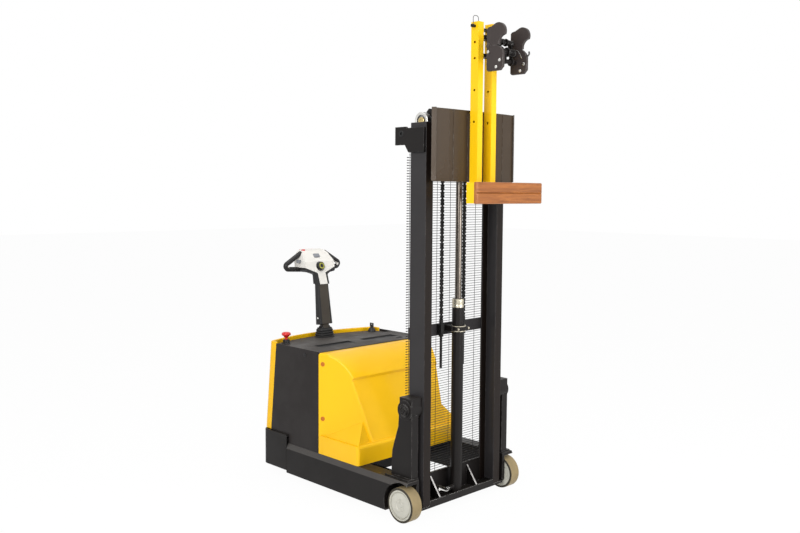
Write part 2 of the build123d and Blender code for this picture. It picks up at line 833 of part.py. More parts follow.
chain_in_r = sheave_pitch_r - chain_t / 2
with BuildPart() as chain_sheaves:
    for side in (-1, 1):
        bar_x(sheave_flange_r, (side * sheave_in, side * sheave_out), sheave_y, sheave_z)
        with BuildSketch(Plane.YZ.offset(side * sheave_x - chain_w / 2 - slip_gap)):
            with Locations((sheave_y, sheave_z)):
                Circle(sheave_flange_r + 1)
                Circle(chain_in_r - slip_gap, mode=Mode.SUBTRACT)
        extrude(amount=chain_w + 2 * slip_gap, mode=Mode.SUBTRACT)
        bore = (side * sheave_in, side * sheave_out)
        bar_x(sheave_pin_r + run_fit, bore, sheave_y, sheave_z, Mode.SUBTRACT)
finish(chain_sheaves, "chain_sheaves")

# Chains: anchor strands up and over the sheaves, and carriage strands down to the carriage.
with BuildPart() as anchor_chains:
    for side in (-1, 1):
        with BuildSketch(Plane.YZ.offset(side * sheave_x - chain_w / 2)):
            with Locations((sheave_y, sheave_z)):
                Circle(chain_in_r + chain_t)
                Circle(chain_in_r, mode=Mode.SUBTRACT)
            with Locations((sheave_y, sheave_z - 100)):
                Rectangle(200, 200, mode=Mode.SUBTRACT)
            with Locations((sheave_y + sheave_pitch_r, (anchor_top + sheave_z) / 2)):
                Rectangle(chain_t, sheave_z - anchor_top)
        extrude(amount=chain_w)
finish(anchor_chains, "anchor_chains")

with BuildPart() as carriage_chains:
    for side in (-1, 1):
        block(
            (side * sheave_x - chain_w / 2, side * sheave_x + chain_w / 2),
            (sheave_y - sheave_pitch_r - chain_t / 2, sheave_y - sheave_pitch_r + chain_t / 2),
            (carriage_anchor_z, sheave_z),
        )
finish(carriage_chains, "carriage_chains")

with BuildPart() as chain_anchors:
    for side in (-1, 1):
        x, y = side * sheave_x, sheave_y + sheave_pitch_r
        block((x - 13, x + 13), (y - 12, behind(mast_depth)), (tie_high - 45, tie_high))
        block((x - 8, x + 8), (y - 8, y + 8), (tie_high, anchor_top))
        bar_z(7, x, y, (tie_low - 170, tie_high))
        with BuildSketch(Plane.XY.offset(tie_high - 67)):
            with Locations((x, y)):
                RegularPolygon(13, 6)
        extrude(amount=22)
finish(chain_anchors, "chain_anchors")

# Carriage frame: side plates with roller stubs, two cross bars and the chain brackets.
roller_y = behind(mast_depth / 2)
roller_r = mast_depth / 2 - mast_flange_t - 0.3
roller_in = flange_in + 4
bar_rear = plate_front + plate_t + 21
with BuildPart() as carriage_frame:
    for side in (-1, 1):
        with BuildSketch(Plane.YZ.offset(side * frame_plate_in)):
            with BuildLine():
                Polyline(
                    (behind(-48), plate_low + 8),
                    (behind(20), plate_low + 8),
                    (behind(82), roller_low - 20),
                    (behind(82), roller_high + 24),
                    (behind(40), plate_high + 4),
                    (behind(-48), plate_high - 10),
                    close=True,
                )
            make_face()
        extrude(amount=side * (frame_plate_out - frame_plate_in))
        for z in (roller_low, roller_high):
            bar_x(roller_axle_r, (side * frame_plate_out, side * (roller_in + roller_w)), roller_y, z)
        block(
            (side * sheave_x - 14, side * sheave_x + 14),
            (behind(bar_rear), sheave_y - sheave_pitch_r + 9),
            (carriage_anchor_z - 44, carriage_anchor_z),
        )
    for low in (carriage_anchor_z - 44, roller_high - 2):
        bar = (low, low + frame_bar_h)
        block((-wing_x + 4, wing_x - 4), (behind(plate_front + plate_t), behind(bar_rear)), bar)
        block((-frame_plate_in, frame_plate_in), (behind(-48), behind(bar_rear)), bar)
finish(carriage_frame, "carriage_frame")

for name, z in (("upper", roller_high), ("lower", roller_low)):
    with BuildPart() as rollers:
        for side in (-1, 1):
            roller_out = roller_in + roller_w
            bar_x(roller_r, (side * roller_in, side * roller_out), roller_y, z)
            bar_x(roller_r - 10, (side * (roller_out - 5), side * roller_out), roller_y, z, Mode.SUBTRACT)
            bar_x(roller_axle_r + run_fit, (side * roller_in, side * roller_out), roller_y, z, Mode.SUBTRACT)
    finish(rollers, f"{name}_rollers")

# Carriage plate: folded back at both wings with a groove along each fold, a top flange and a pad
# for the posts.
with BuildPart() as carriage_plate:
    with BuildSketch(Plane.XY.offset(plate_low)):
        with BuildLine():
            Polyline(
                (-plate_half, behind(plate_front + wing_back)),
                (-wing_x, behind(plate_front)),
                (wing_x, behind(plate_front)),
                (plate_half, behind(plate_front + wing_back)),
                (plate_half, behind(plate_front + wing_back + plate_t)),
                (wing_x, behind(plate_front + plate_t)),
                (-wing_x, behind(plate_front + plate_t)),
                (-plate_half, behind(plate_front + wing_back + plate_t)),
                close=True,
            )
        make_face()
    extrude(amount=plate_high - plate_low)
    block(
        (-plate_half + 3, plate_half - 3),
        (behind(plate_front + plate_t), behind(plate_front + 32.6)),
        (plate_high - 7, plate_high),
    )
    block((-post_out, post_out), (behind(post_rear), behind(plate_front)), (plate_low + 4, plate_high - 16))
    for side in (-1, 1):
        block(
            (side * (wing_x - groove_w / 2), side * (wing_x + groove_w / 2)),
            (behind(plate_front - 1), behind(plate_front + groove_deep)),
            (plate_low, plate_high),
            Mode.SUBTRACT,
        )
finish(carriage_plate, "carriage_plate")

# Gripper posts: two square tubes with a row of pin holes.
with BuildPart() as gripper_posts:
    for side in (-1, 1):
        block(
            (side * post_in, side * post_out),
            (behind(post_front), behind(post_rear)),
            (post_low, post_high),
        )
        block(
            (side * (post_in + post_wall), side * (post_out - post_wall)),
            (behind(post_front + post_wall), behind(post_rear - post_wall)),
            (post_low, post_high),
            Mode.SUBTRACT,
        )
    pin_y = behind((post_front + post_rear) / 2)
    for step in pin_steps:
        bar_x(pin_r + run_fit, (-post_out, post_out), pin_y, pin_z - step, Mode.SUBTRACT)
finish(gripper_posts, "gripper_posts")

# Bumper: a grooved plank that the drum leans on, in front of a channel rail that two arms hold off the posts.
with BuildPart() as bumper_bracket:
    rail_low = bumper_low + rail_inset
    rail_high = bumper_high - rail_inset
    block((-bumper_half, bumper_half), (behind(plank_back), behind(bumper_back)), (rail_low, rail_high))
    block(
        (-bumper_half + rail_wall, bumper_half - rail_wall),
        (behind(plank_back + rail_wall), behind(bumper_back)),
        (rail_low + rail_wall, rail_high - rail_wall),
        Mode.SUBTRACT,
    )
    for side in (-1, 1):
        block(
            (side * post_in, side * post_out),
            (behind(plank_back), behind(post_front)),
            (bumper_low + 10, bumper_high - 5),
        )
finish(bumper_bracket, "bumper_bracket")

with BuildPart() as bumper_bar:
    block((-bumper_half, bumper_half), (behind(bumper_front), behind(plank_back)), (bumper_low, bumper_high))
    fillet(bumper_bar.edges().filter_by(Axis.Z).group_by(Axis.Y)[0], 0.6 * plank_t)
    fillet(bumper_bar.faces().sort_by(Axis.Y)[0].edges().filter_by(Axis.X), 6)
    with BuildSketch(Plane.YZ.offset(-bumper_half)):
        with BuildLine():
            mid = (bumper_low + bumper_high) / 2
            Polyline(
                (behind(bumper_front), mid + 4),
                (behind(bumper_front + 6), mid),
                (behind(bumper_front), mid - 4),
                close=True,
            )
        make_face()
    extrude(amount=2 * bumper_half, mode=Mode.SUBTRACT)
finish(bumper_bar, "bumper_bar")

# Head carrier: three bars bolted between the posts, out to a spine behind the heads, and two cross bars on lugs.
jaw_back = behind(jaw_rear)
spine_half = 12.0
spine_deep = 30.0
carrier_bars = ((86, 103), (173, 195), (218, 226))
cross_bars = ((13.0, 24.0, 104.0), (11.0, 30.0, 58.0))
with BuildPart() as head_carrier:
    for low, high in carrier_bars:
        bar = (jaw_base_z + low, jaw_base_z + high)
        block((-post_in, post_in), (behind(post_front), behind(post_rear - 8)), bar)
        block((-spine_half, spine_half), (jaw_back, behind(post_front)), bar)
    block(
        (-spine_half, spine_half),
        (jaw_back, jaw_back + spine_deep),
        (jaw_base_z + cross_bars[-1][-1] - cross_bars[-1][0], jaw_base_z + carrier_bars[-1][-1]),
    )
    for bar_r, forward, up in cross_bars:
        block(
            (-spine_half, spine_half),
            (jaw_back - forward, jaw_back),
            (jaw_base_z + up - bar_r, jaw_base_z + up + bar_r),
        )
        bar_x(bar_r, (-jaw_in, jaw_in), jaw_back - forward, jaw_base_z + up)
finish(head_carrier, "head_carrier")


# Places on the heads are told as (forward from the rear edge, up from the base).
def jaw(forward, up):
    """Sketch point on a head's side plane."""
    return (jaw_back - forward, jaw_base_z + up)


jaw_out = jaw_in + jaw_t
cheek_out = jaw_out - jaw_cheek
cheek_in = jaw_in + jaw_cheek
for name, side in SIDES:
    with BuildPart() as head:
        with BuildSketch(Plane.YZ.offset(side * jaw_in)):
            with BuildLine():
                Polyline(
                    jaw(0, 8),
                    jaw(8, 0),
                    jaw(82, 0),
                    jaw(100, 18),
                    jaw(100, 80),
                    jaw(92, 99),
                    jaw(78, 113),
                    jaw(64, 121.4),
                    jaw(20.2, 121.4),
                    jaw(0, 121.4),
                    close=True,
                )
            make_face()
            with Locations(jaw(*jaw_pivot)):
                Circle(12.5)
        extrude(amount=side * jaw_t)
        with BuildSketch(Plane.YZ.offset(side * cheek_in)):
            with BuildLine():
                Polyline(
                    jaw(-20, 36),
                    jaw(74, 36),
                    jaw(74, 150),
                    jaw(-20, 150),
                    close=True,
                )
            make_face()
        extrude(amount=side * (jaw_t - 2 * jaw_cheek), mode=Mode.SUBTRACT)
        bar_x(jaw_pivot_r, (side * cheek_in, side * cheek_out), *jaw(*jaw_pivot))
        for place in (jaw_pivot, (84, 47), (63, 16)):
            bar_x(6, (side * jaw_out, side * (jaw_out + 2.5)), *jaw(*place))
    finish(head, f"head_{name}")

    # Beak: a hooked nose over the throat, with a tang on the pivot between the cheeks.
    with BuildPart() as beak:
        with BuildSketch(Plane.YZ.offset(side * jaw_in)):
            with BuildLine():
                Polyline(
                    jaw(0, 122),
                    jaw(0, 203),
                    jaw(7, 210),
                    jaw(28, 214),
                    jaw(52, 225),
                    jaw(98, 184),
                    jaw(90, 122),
                    close=True,
                )
            make_face()
            with Locations(jaw(*beak_nose)):
                Circle(beak_nose_r)
            with Locations(jaw(112, 128)):
                Circle(40, mode=Mode.SUBTRACT)
            with Locations(jaw(*jaw_pivot)):
                Circle(12.5 + slip_gap, mode=Mode.SUBTRACT)
            with Locations(jaw(45, 116)):
                Rectangle(120, 2 * (6 + slip_gap - 0.6), mode=Mode.SUBTRACT)
        extrude(amount=side * jaw_t)
        with BuildSketch(Plane.YZ.offset(side * (cheek_in + slip_gap))):
            with Locations(jaw(*jaw_pivot)):
                Circle(11)
            with Locations(jaw(38, 142)):
                Circle(11)
            make_hull()
        extrude(amount=side * (jaw_t - 2 * jaw_cheek - 2 * slip_gap))
        with BuildSketch(Plane.YZ.offset(side * (cheek_in + slip_gap))):
            with Locations(jaw(*jaw_pivot)):
                Circle(10.9)
            with Locations(jaw(30, 76)):
                Circle(7)
            make_hull()
        extrude(amount=side * (jaw_t - 2 * jaw_cheek - 2 * slip_gap))
        bar_x(jaw_pivot_r + run_fit, (side * cheek_in, side * cheek_out), *jaw(*jaw_pivot), Mode.SUBTRACT)
    finish(beak, f"beak_{name}")

# Lock pin through the right post, with a wire bail over the post.
with BuildPart() as lock_pin:
    bar_x(pin_r, (-post_out - 20, -post_in + 6), pin_y, pin_z)
    bar_x(8.5, (-post_out - 24, -post_out - 12), pin_y, pin_z)
    with BuildLine(Plane.XZ.offset(-pin_y)):
        FilletPolyline(
            (-post_out - 14, pin_z),
            (-post_out - 14, post_high + 30),
            (-post_out + 26, post_high + 30),
            (-post_out + 26, post_high + 6),
            radius=14,
        )
    with BuildSketch(Plane(origin=(-post_out - 14, pin_y, pin_z), z_dir=(0, 0, 1))):
        Circle(1.5)
    sweep()
finish(lock_pin, "lock_pin")

# Drive unit: turret in the skirt's plate and gearbox beside the wheel, then the motor and the wheel.
gear_in = drive_w / 2 + move_gap
gear_out = gear_in + 44
wheel_gap_top = 2 * drive_r + 12
with BuildPart() as drive_unit:
    bar_z(turret_r - run_fit, 0, steer_y, (wheel_gap_top, skirt_top + slip_gap))
    bar_z(turret_r + 14, 0, steer_y, (skirt_top + slip_gap, skirt_top + 16))
    block((gear_in, gear_out), (steer_y - 52, steer_y + 52), (drive_r, wheel_gap_top))
    bar_x(52, (gear_in, gear_out), steer_y, drive_r)
    bar_x(drive_axle_r, (-drive_w / 2 + 10, gear_in), steer_y, drive_r)
finish(drive_unit, "drive_unit")

with BuildPart() as drive_motor:
    bar_z(78, 0, steer_y, (skirt_top + 16, skirt_top + 30))
    bar_z(70, 0, steer_y, (skirt_top + 30, skirt_top + 225))
    bar_z(52, 0, steer_y, (skirt_top + 225, skirt_top + 250))
finish(drive_motor, "drive_motor")

with BuildPart() as drive_wheel:
    bar_x(drive_r, (-drive_w / 2, drive_w / 2), steer_y, drive_r)
    chamfer(drive_wheel.edges().filter_by(GeomType.CIRCLE), 4)
    bore = (-drive_w / 2 + 10 - slip_gap, drive_w / 2)
    bar_x(drive_axle_r + run_fit, bore, steer_y, drive_r, Mode.SUBTRACT)
finish(drive_wheel, "drive_wheel")

# Steering post on the motor, with the fork and pin that the tiller tilts on.
fork_in, fork_out, fork_r = 21.0, 31.0, 20.0
tilt_pin_r = 10.0
with BuildPart() as steering_post:
    bar_z(fork_r, 0, steer_y, (skirt_top + 250, deck_z + 6))
    block((-fork_out, fork_out), (steer_y - fork_r, steer_y + fork_r), (deck_z - 2, deck_z + 8))
    for side in (-1, 1):
        block((side * fork_in, side * fork_out), (steer_y - fork_r, steer_y + fork_r), (deck_z, tilt_z))
        bar_x(fork_r, (side * fork_in, side * fork_out), steer_y, tilt_z)
    bar_x(tilt_pin_r, (-fork_out, fork_out), steer_y, tilt_z)
finish(steering_post, "steering_post")

# Tiller boot: a ribbed rubber bellows around the steering post, oblong and narrowing upwards.
boot_ribs = ((116, 76, 16), (108, 70, 14), (102, 66, 14), (96, 62, 14))
with BuildPart() as tiller_boot:
    rib_z = console_z + slip_gap
    for wide, deep, tall in boot_ribs:
        with BuildSketch(Plane.XY.offset(rib_z)):
            with Locations((0, steer_y)):
                RectangleRounded(wide, deep, 20)
        extrude(amount=tall - 4)
        with BuildSketch(Plane.XY.offset(rib_z + tall - 4)):
            with Locations((0, steer_y)):
                RectangleRounded(wide - 12, deep - 12, 14)
        extrude(amount=4)
        rib_z = rib_z + tall
    with BuildSketch(Plane.XY.offset(console_z + slip_gap)):
        with Locations((0, steer_y)):
            RectangleRounded(2 * fork_out + 8, 2 * fork_r + 6, 6)
    extrude(amount=rib_z - console_z, mode=Mode.SUBTRACT)
finish(tiller_boot, "tiller_boot")

# Tiller column: leaning, tapered, hung on the fork's pin.
lean = radians(column_lean)
tilt_plane = Plane(origin=(0, steer_y, tilt_z), x_dir=(1, 0, 0), z_dir=(0, sin(lean), cos(lean)))
with BuildPart() as tiller_column:
    for reach, width, depth in ((26, 88, 46), (column_len, 72, 36)):
        with BuildSketch(tilt_plane.offset(reach)):
            RectangleRounded(width, depth, 10)
    loft()
    with BuildSketch(tilt_plane):
        Rectangle(2 * (fork_in - slip_gap), 34)
    extrude(amount=26)
    bar_x(17, (-fork_in + slip_gap, fork_in - slip_gap), steer_y, tilt_z)
    bar_x(tilt_pin_r + run_fit, (-fork_in, fork_in), steer_y, tilt_z, Mode.SUBTRACT)
finish(tiller_column, "tiller_column")

# Tiller head: a moulded hood. Its side outline is told as (back, up) from the column's end, its front
# outline as (across, up), and the head is what both have in common.
neck_y = behind(neck_back)
neck_z = tilt_z + column_len * cos(lean)
head_side = (
    (-26, -13),
    (21, 124),
    (75, 189),
    (111, 198),
    (head_deep - 3, 191),
    (head_deep, 161),
    (head_deep - 10, 75),
    (31, 45),
    (25, -13),
)
head_half = ((42, -13), (44, 45), (66, 57), (106, 63), (114, 77), (115, 135), (100, 175), (74, 199))
horn_r = 27.0
horn_travel = 4.0
rocker_half_x = 21.0
rocker_half_u = 12.0
rocker_pin_r = 2.5
shaft_r = 7.0
shaft_back, shaft_up = 61.0, 127.0
belly_up = 176.0
belly_stem_r = 9.0


def on_head(back, up):
    """Y and Z of a place on the tiller head."""
    return (neck_y + back, neck_z + up)


def face_plane(low, high, share):
    """Plane on the head's front, part of the way between two points of its side outline."""
    back = low[0] + share * (high[0] - low[0])
    up = low[1] + share * (high[1] - low[1])
    out = Vector(0, low[1] - high[1], high[0] - low[0]).normalized()
    return Plane(origin=(0, *on_head(back, up)), x_dir=(1, 0, 0), z_dir=out)


horn_plane = face_plane(head_side[0], head_side[1], 0.79)
rocker_plane = face_plane(head_side[1], head_side[2], 0.52)
rocker_at = rocker_plane.from_local_coords(Vector(0, 0, -8))
shaft_y, shaft_z = on_head(shaft_back, shaft_up)
belly_z = neck_z + belly_up
with BuildPart() as tiller_head:
    with BuildSketch(Plane.YZ.offset(-120)):
        with BuildLine():
            Polyline(*[on_head(back, up) for back, up in head_side], close=True)
        make_face()
        fillet(vertices().filter_by(lambda v: v.Y > neck_z), 8)
    extrude(amount=240)
    with BuildSketch(Plane.XZ.offset(-neck_y - head_deep - 10)):
        with BuildLine():
            right = [(x, neck_z + up) for x, up in head_half]
            left = [(-x, neck_z + up) for x, up in reversed(head_half)]
            Polyline(*right, *left, close=True)
        make_face()
        fillet(vertices().filter_by(lambda v: v.Y > neck_z), 10)
    extrude(amount=head_deep + 50, mode=Mode.INTERSECT)
    add(tiller_column.part, mode=Mode.SUBTRACT)
    with BuildSketch(horn_plane):
        Circle(horn_r + slip_gap)
    extrude(amount=-11, mode=Mode.SUBTRACT)
    with BuildSketch(rocker_plane):
        Rectangle(2 * rocker_half_x + 1, 2 * rocker_half_u + 3)
    extrude(amount=-16, mode=Mode.SUBTRACT)
    pin_reach = rocker_half_x + 5
    bar_x(rocker_pin_r + run_fit, (-pin_reach, pin_reach), rocker_at.Y, rocker_at.Z, Mode.SUBTRACT)
    bar_x(shaft_r + run_fit, (-130, 130), shaft_y, shaft_z, Mode.SUBTRACT)
    with BuildSketch(Plane.XZ.offset(-neck_y - head_deep - 3)):
        with Locations((0, belly_z)):
            Circle(belly_stem_r + run_fit)
    extrude(amount=45, mode=Mode.SUBTRACT)
finish(tiller_head, "tiller_head")

# Grip loops either side of the head, in an upright plane across it.
grip_y = neck_y + 87
with BuildPart() as tiller_grips:
    for side in (-1, 1):
        with BuildLine(Plane.XZ.offset(-grip_y)) as loop:
            FilletPolyline(
                (side * 96, neck_z + 75),
                (side * 196, neck_z + 81),
                (side * 214, neck_z + 104),
                (side * 92, neck_z + 176),
                radius=14,
            )
        with BuildSketch(Plane(origin=loop.line @ 0, z_dir=loop.line % 0)):
            Circle(grip_r)
        sweep()
    add(tiller_head.part, mode=Mode.SUBTRACT)
finish(tiller_grips, "tiller_grips")

# Butterfly throttle: one shaft through the head with a paddle at each end.
paddle_x = 130.0
with BuildPart() as throttle:
    bar_x(shaft_r, (-paddle_x, paddle_x), shaft_y, shaft_z)
    with BuildSketch(Plane.XZ.offset(-shaft_y - 6)):
        for side in (-1, 1):
            with Locations((side * paddle_x, shaft_z)):
                RectangleRounded(24, 20, 5)
    extrude(amount=12)
finish(throttle, "throttle")

# Horn button: a domed cap in the head's face.
with BuildPart() as horn_button:
    with BuildSketch(horn_plane.offset(-11 + horn_travel + slip_gap)):
        Circle(horn_r)
    extrude(amount=24)
    crown = horn_button.faces().sort_by(lambda f: horn_plane.to_local_coords(f.center()).Z)[-1]
    fillet(crown.edges(), 9)
finish(horn_button, "horn_button")

# Lift rocker on two short pins.
with BuildPart() as lift_rocker:
    with BuildSketch(rocker_plane.offset(-13)):
        Rectangle(2 * rocker_half_x, 2 * rocker_half_u)
    extrude(amount=19)
    bar_x(rocker_pin_r, (-rocker_half_x - 4, rocker_half_x + 4), rocker_at.Y, rocker_at.Z)
finish(lift_rocker, "lift_rocker")

# Belly button: the red pad at the end of the head that reverses the truck when pressed.
belly_y = neck_y + head_deep + belly_travel + slip_gap
with BuildPart() as belly_button:
    with BuildSketch(Plane.XZ.offset(-belly_y)):
        with Locations((0, belly_z)):
            RectangleRounded(116, 38, 8)
    extrude(amount=-belly_t)
    with BuildSketch(Plane.XZ.offset(-belly_y)):
        with Locations((0, belly_z)):
            Circle(belly_stem_r)
    extrude(amount=36)
finish(belly_button, "belly_button")
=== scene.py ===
# %% [markdown]
# # A counterbalanced drum lifter, dressed for its picture
# The measured solids come in as a fixed frame, with every moving body already in its place.
# Nothing of the frame is moved. Paint, light and the finer pieces are built around it, and each
# new piece is told which body it travels with.

# %% Load the solids
import json
from math import cos, pi, radians, sin

import bmesh
import bpy
from mathutils import Matrix, Vector


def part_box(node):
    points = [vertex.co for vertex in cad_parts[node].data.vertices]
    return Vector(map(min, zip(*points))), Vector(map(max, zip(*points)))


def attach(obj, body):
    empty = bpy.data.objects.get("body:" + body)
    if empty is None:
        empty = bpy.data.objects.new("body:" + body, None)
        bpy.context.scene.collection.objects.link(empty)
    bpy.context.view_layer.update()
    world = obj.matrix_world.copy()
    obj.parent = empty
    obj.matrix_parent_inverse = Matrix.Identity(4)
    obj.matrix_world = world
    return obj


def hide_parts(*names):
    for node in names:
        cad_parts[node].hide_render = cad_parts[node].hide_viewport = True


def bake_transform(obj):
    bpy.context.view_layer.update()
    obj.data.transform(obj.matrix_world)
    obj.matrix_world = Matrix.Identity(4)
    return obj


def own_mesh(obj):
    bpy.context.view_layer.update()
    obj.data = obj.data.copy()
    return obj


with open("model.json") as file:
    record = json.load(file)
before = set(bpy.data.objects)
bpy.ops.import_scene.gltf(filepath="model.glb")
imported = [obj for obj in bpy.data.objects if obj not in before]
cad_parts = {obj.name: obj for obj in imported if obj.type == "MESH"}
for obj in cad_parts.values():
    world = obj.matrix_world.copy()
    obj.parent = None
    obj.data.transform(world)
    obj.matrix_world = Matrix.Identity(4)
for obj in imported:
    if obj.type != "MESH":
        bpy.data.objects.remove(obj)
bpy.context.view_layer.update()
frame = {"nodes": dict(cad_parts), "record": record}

# %% [markdown]
# ## One way to name a place
# The drawing measures everything in millimetres across from the middle, back from the front face
# of the mast, and up from the floor. Blender works in metres from the frame's origin. One small
# function turns the first into the second, so the numbers below read like the drawing's.

# %% Places in millimetres
mast_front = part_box("mast_channel_left")[0].y


def at(across, back, up):
    """A point from millimetres across, back from the mast's front face, and up from the floor."""
    return Vector((across / 1000, mast_front + back / 1000, up / 1000))


print("mast front at", round(mast_front, 4))

# %% [markdown]
# ## Camera
# The picture was taken from the front right corner, at about eye height, with a normal lens. The
# camera could be turned by eye until things line up, but here its place, turn and lens were
# worked out from the mast, wheels and deck, so they are written in as numbers. The small shift
# puts the middle of the lens where it was in the picture.

# %% Place the camera
scene = bpy.context.scene
scene.view_settings.view_transform = "Standard"
turn, dip, roll = radians(44.46), radians(4.30), radians(0.37)
ahead = Vector((sin(turn) * cos(dip), cos(turn) * cos(dip), -sin(dip)))
level = Vector((cos(turn), -sin(turn), 0))
upright = level.cross(ahead)
rolled_right = cos(roll) * level + sin(roll) * upright
rolled_up = cos(roll) * upright - sin(roll) * level
bpy.ops.object.camera_add()
camera = bpy.context.object
camera.matrix_world = Matrix((rolled_right, rolled_up, -ahead)).transposed().to_4x4()
camera.location = at(-3428.9, -2996.3, 1648.9)
camera.data.lens = 39.38
camera.data.shift_x = 0.0016
camera.data.shift_y = -0.0094
scene.camera = camera
print("camera at", [round(v, 2) for v in camera.location], "lens", camera.data.lens)

# %% [markdown]
# ## Helpers for nodes
# Every material is a small machine of nodes. By hand, nodes are added, their sockets filled in
# and noodles drawn between them. These helpers do the same: an input is fed either a plain value
# or another node's output. Every new material is also listed by its name, for later steps.

# %% Add and feed nodes
finish = {}


def feed(node, inputs):
    """Give each input of a node a plain value, or wire it to another node's output."""
    for name, value in inputs.items():
        if isinstance(value, bpy.types.NodeSocket):
            node.id_data.links.new(value, node.inputs[name])
        else:
            node.inputs[name].default_value = value


def add_node(tree, kind, inputs=None, **values):
    made = tree.nodes.new("ShaderNode" + kind)
    for name, value in values.items():
        setattr(made, name, value)
    feed(made, inputs or {})
    return made


def product(tree, first, second):
    return add_node(tree, "Math", {0: first, 1: second}, operation="MULTIPLY").outputs[0]


def new_look(name):
    """A new material, listed by its name: its node tree and its shader."""
    look = bpy.data.materials.new(name)
    look.use_nodes = True
    finish[name] = look
    return look.node_tree, look.node_tree.nodes["Principled BSDF"]


print("node helpers ready")

# %% [markdown]
# ## Floor
# A studio picture on white stands on a pale sheet that runs out of sight, and a large plane does
# for it. To the camera, in a mirror or through glass it glows almost white. Light that falls on
# it still meets pale paper, so it keeps a faint shadow.

# %% Lay the floor
def seen_directly(tree):
    """One where a camera, mirror or glass ray looks, and nought for light that falls on things."""
    rays = add_node(tree, "LightPath").outputs
    direct = rays["Is Camera Ray"]
    for other in ("Is Glossy Ray", "Is Transmission Ray"):
        direct = add_node(tree, "Math", {0: direct, 1: rays[other]}, operation="MAXIMUM").outputs[0]
    return direct


white, floor_glow = (1, 1, 1, 1), 0.965
bpy.ops.mesh.primitive_plane_add(size=60, location=(0, 0, 0))
floor = bpy.context.object
floor.name = "studio_floor"
tree, paper = new_look("studio_floor")
feed(paper, {"Base Color": (0.86, 0.86, 0.86, 1), "Roughness": 0.9, "Specular IOR Level": 0.1})
glow = add_node(tree, "Emission", {"Color": white, "Strength": 1.0})
glowing = product(tree, seen_directly(tree), floor_glow)
mixed = add_node(tree, "MixShader", {0: glowing, 1: paper.outputs[0], 2: glow.outputs[0]})
feed(tree.nodes["Material Output"], {"Surface": mixed.outputs[0]})
floor.data.materials.append(finish["studio_floor"])
print("floor ready")

# %% [markdown]
# ## Light
# One broad light stands on the near side, a weaker one in front and a soft one overhead. The
# world could be a picture of a studio, but an even fill is enough. Camera, mirror and glass rays
# see it as white, so the background is white without any extra light on the paint.

# %% Light the lifter
studio = bpy.data.worlds.new("studio")
scene.world = studio
studio.use_nodes = True
tree = studio.node_tree
fill = tree.nodes["Background"]
feed(fill, {"Color": white, "Strength": 0.5})
backdrop = add_node(tree, "Background", {"Color": white, "Strength": 1.0})
sky = add_node(tree, "MixShader",
               {0: seen_directly(tree), 1: fill.outputs[0], 2: backdrop.outputs[0]})
feed(tree.nodes["World Output"], {"Surface": sky.outputs[0]})

for name, place, aim, size, power in (
    ("key", (-4.6, -2.2, 3.2), (0, 0, 0.9), 3.6, 235),
    ("front", (0.6, -5.2, 2.2), (0, 0, 0.8), 3.2, 190),
    ("overhead", (0.2, 0.2, 4.8), (0, 0, 0.5), 3.2, 80),
):
    bpy.ops.object.light_add(type="AREA", location=place)
    lamp = bpy.context.object
    lamp.name = name + "_light"
    lamp.data.size = size
    lamp.data.energy = power
    lamp.rotation_euler = (Vector(aim) - Vector(place)).to_track_quat("-Z", "Y").to_euler()

# %% [markdown]
# ## Effects that several finishes share
# Real paint is never one flat colour. It is a little uneven, it wears through along the edges,
# and dust settles on what faces up. Each effect is a node group, made once and placed in each
# finish with its own values. A group reads the piece's own coordinates, so the marks stay on the
# piece when it moves.

# %% Helpers for groups
socket_kinds = {"Vector": "Vector", "Stretch": "Vector", "Colour": "Color", "Shade": "Color",
                "Bare": "Color", "Dust": "Color"}


def start_group(name, inputs, outputs):
    """A group with named sockets, what comes into it, and the node for what goes out."""
    group = bpy.data.node_groups.new(name, "ShaderNodeTree")
    for way, sockets in (("INPUT", inputs), ("OUTPUT", outputs)):
        for label in sockets:
            kind = "NodeSocket" + socket_kinds.get(label, "Float")
            group.interface.new_socket(label, in_out=way, socket_type=kind)
    return group, group.nodes.new("NodeGroupInput").outputs, group.nodes.new("NodeGroupOutput")


def cloudiness(tree, vector, scale, detail, rough=0.55, twist=0.0):
    noise = add_node(tree, "TexNoise", {"Vector": vector, "Scale": scale, "Detail": detail,
                                        "Roughness": rough, "Distortion": twist})
    return noise.outputs["Fac"]


def graded(tree, value, low, high, to_low=0.0, to_high=1.0):
    """Carry a value softly from one range to another."""
    ends = {"Value": value, "From Min": low, "From Max": high, "To Min": to_low, "To Max": to_high}
    return add_node(tree, "MapRange", ends, interpolation_type="SMOOTHSTEP").outputs["Result"]


def tinted(tree, amount, base, tint):
    return add_node(tree, "Mix", {0: amount, 6: base, 7: tint}, data_type="RGBA").outputs[2]


print("helpers for groups ready")

# %% [markdown]
# ## Uneven colour
# Paint and plastic have broad, weak clouds of a darker shade. A soft noise finds the clouds. The
# group also puts the cloud out by itself, so that the gloss can change with the colour.

# %% Uneven colour
uneven, got, out = start_group(
    "uneven_colour", ("Vector", "Colour", "Shade", "Scale", "Amount"), ("Colour", "Cloud"))
cloud = graded(uneven, cloudiness(uneven, got["Vector"], got["Scale"], 5.0), 0.32, 0.68)
patchy = product(uneven, cloud, got["Amount"])
feed(out, {"Colour": tinted(uneven, patchy, got["Colour"], got["Shade"]), "Cloud": cloud})
print("group:", uneven.name)
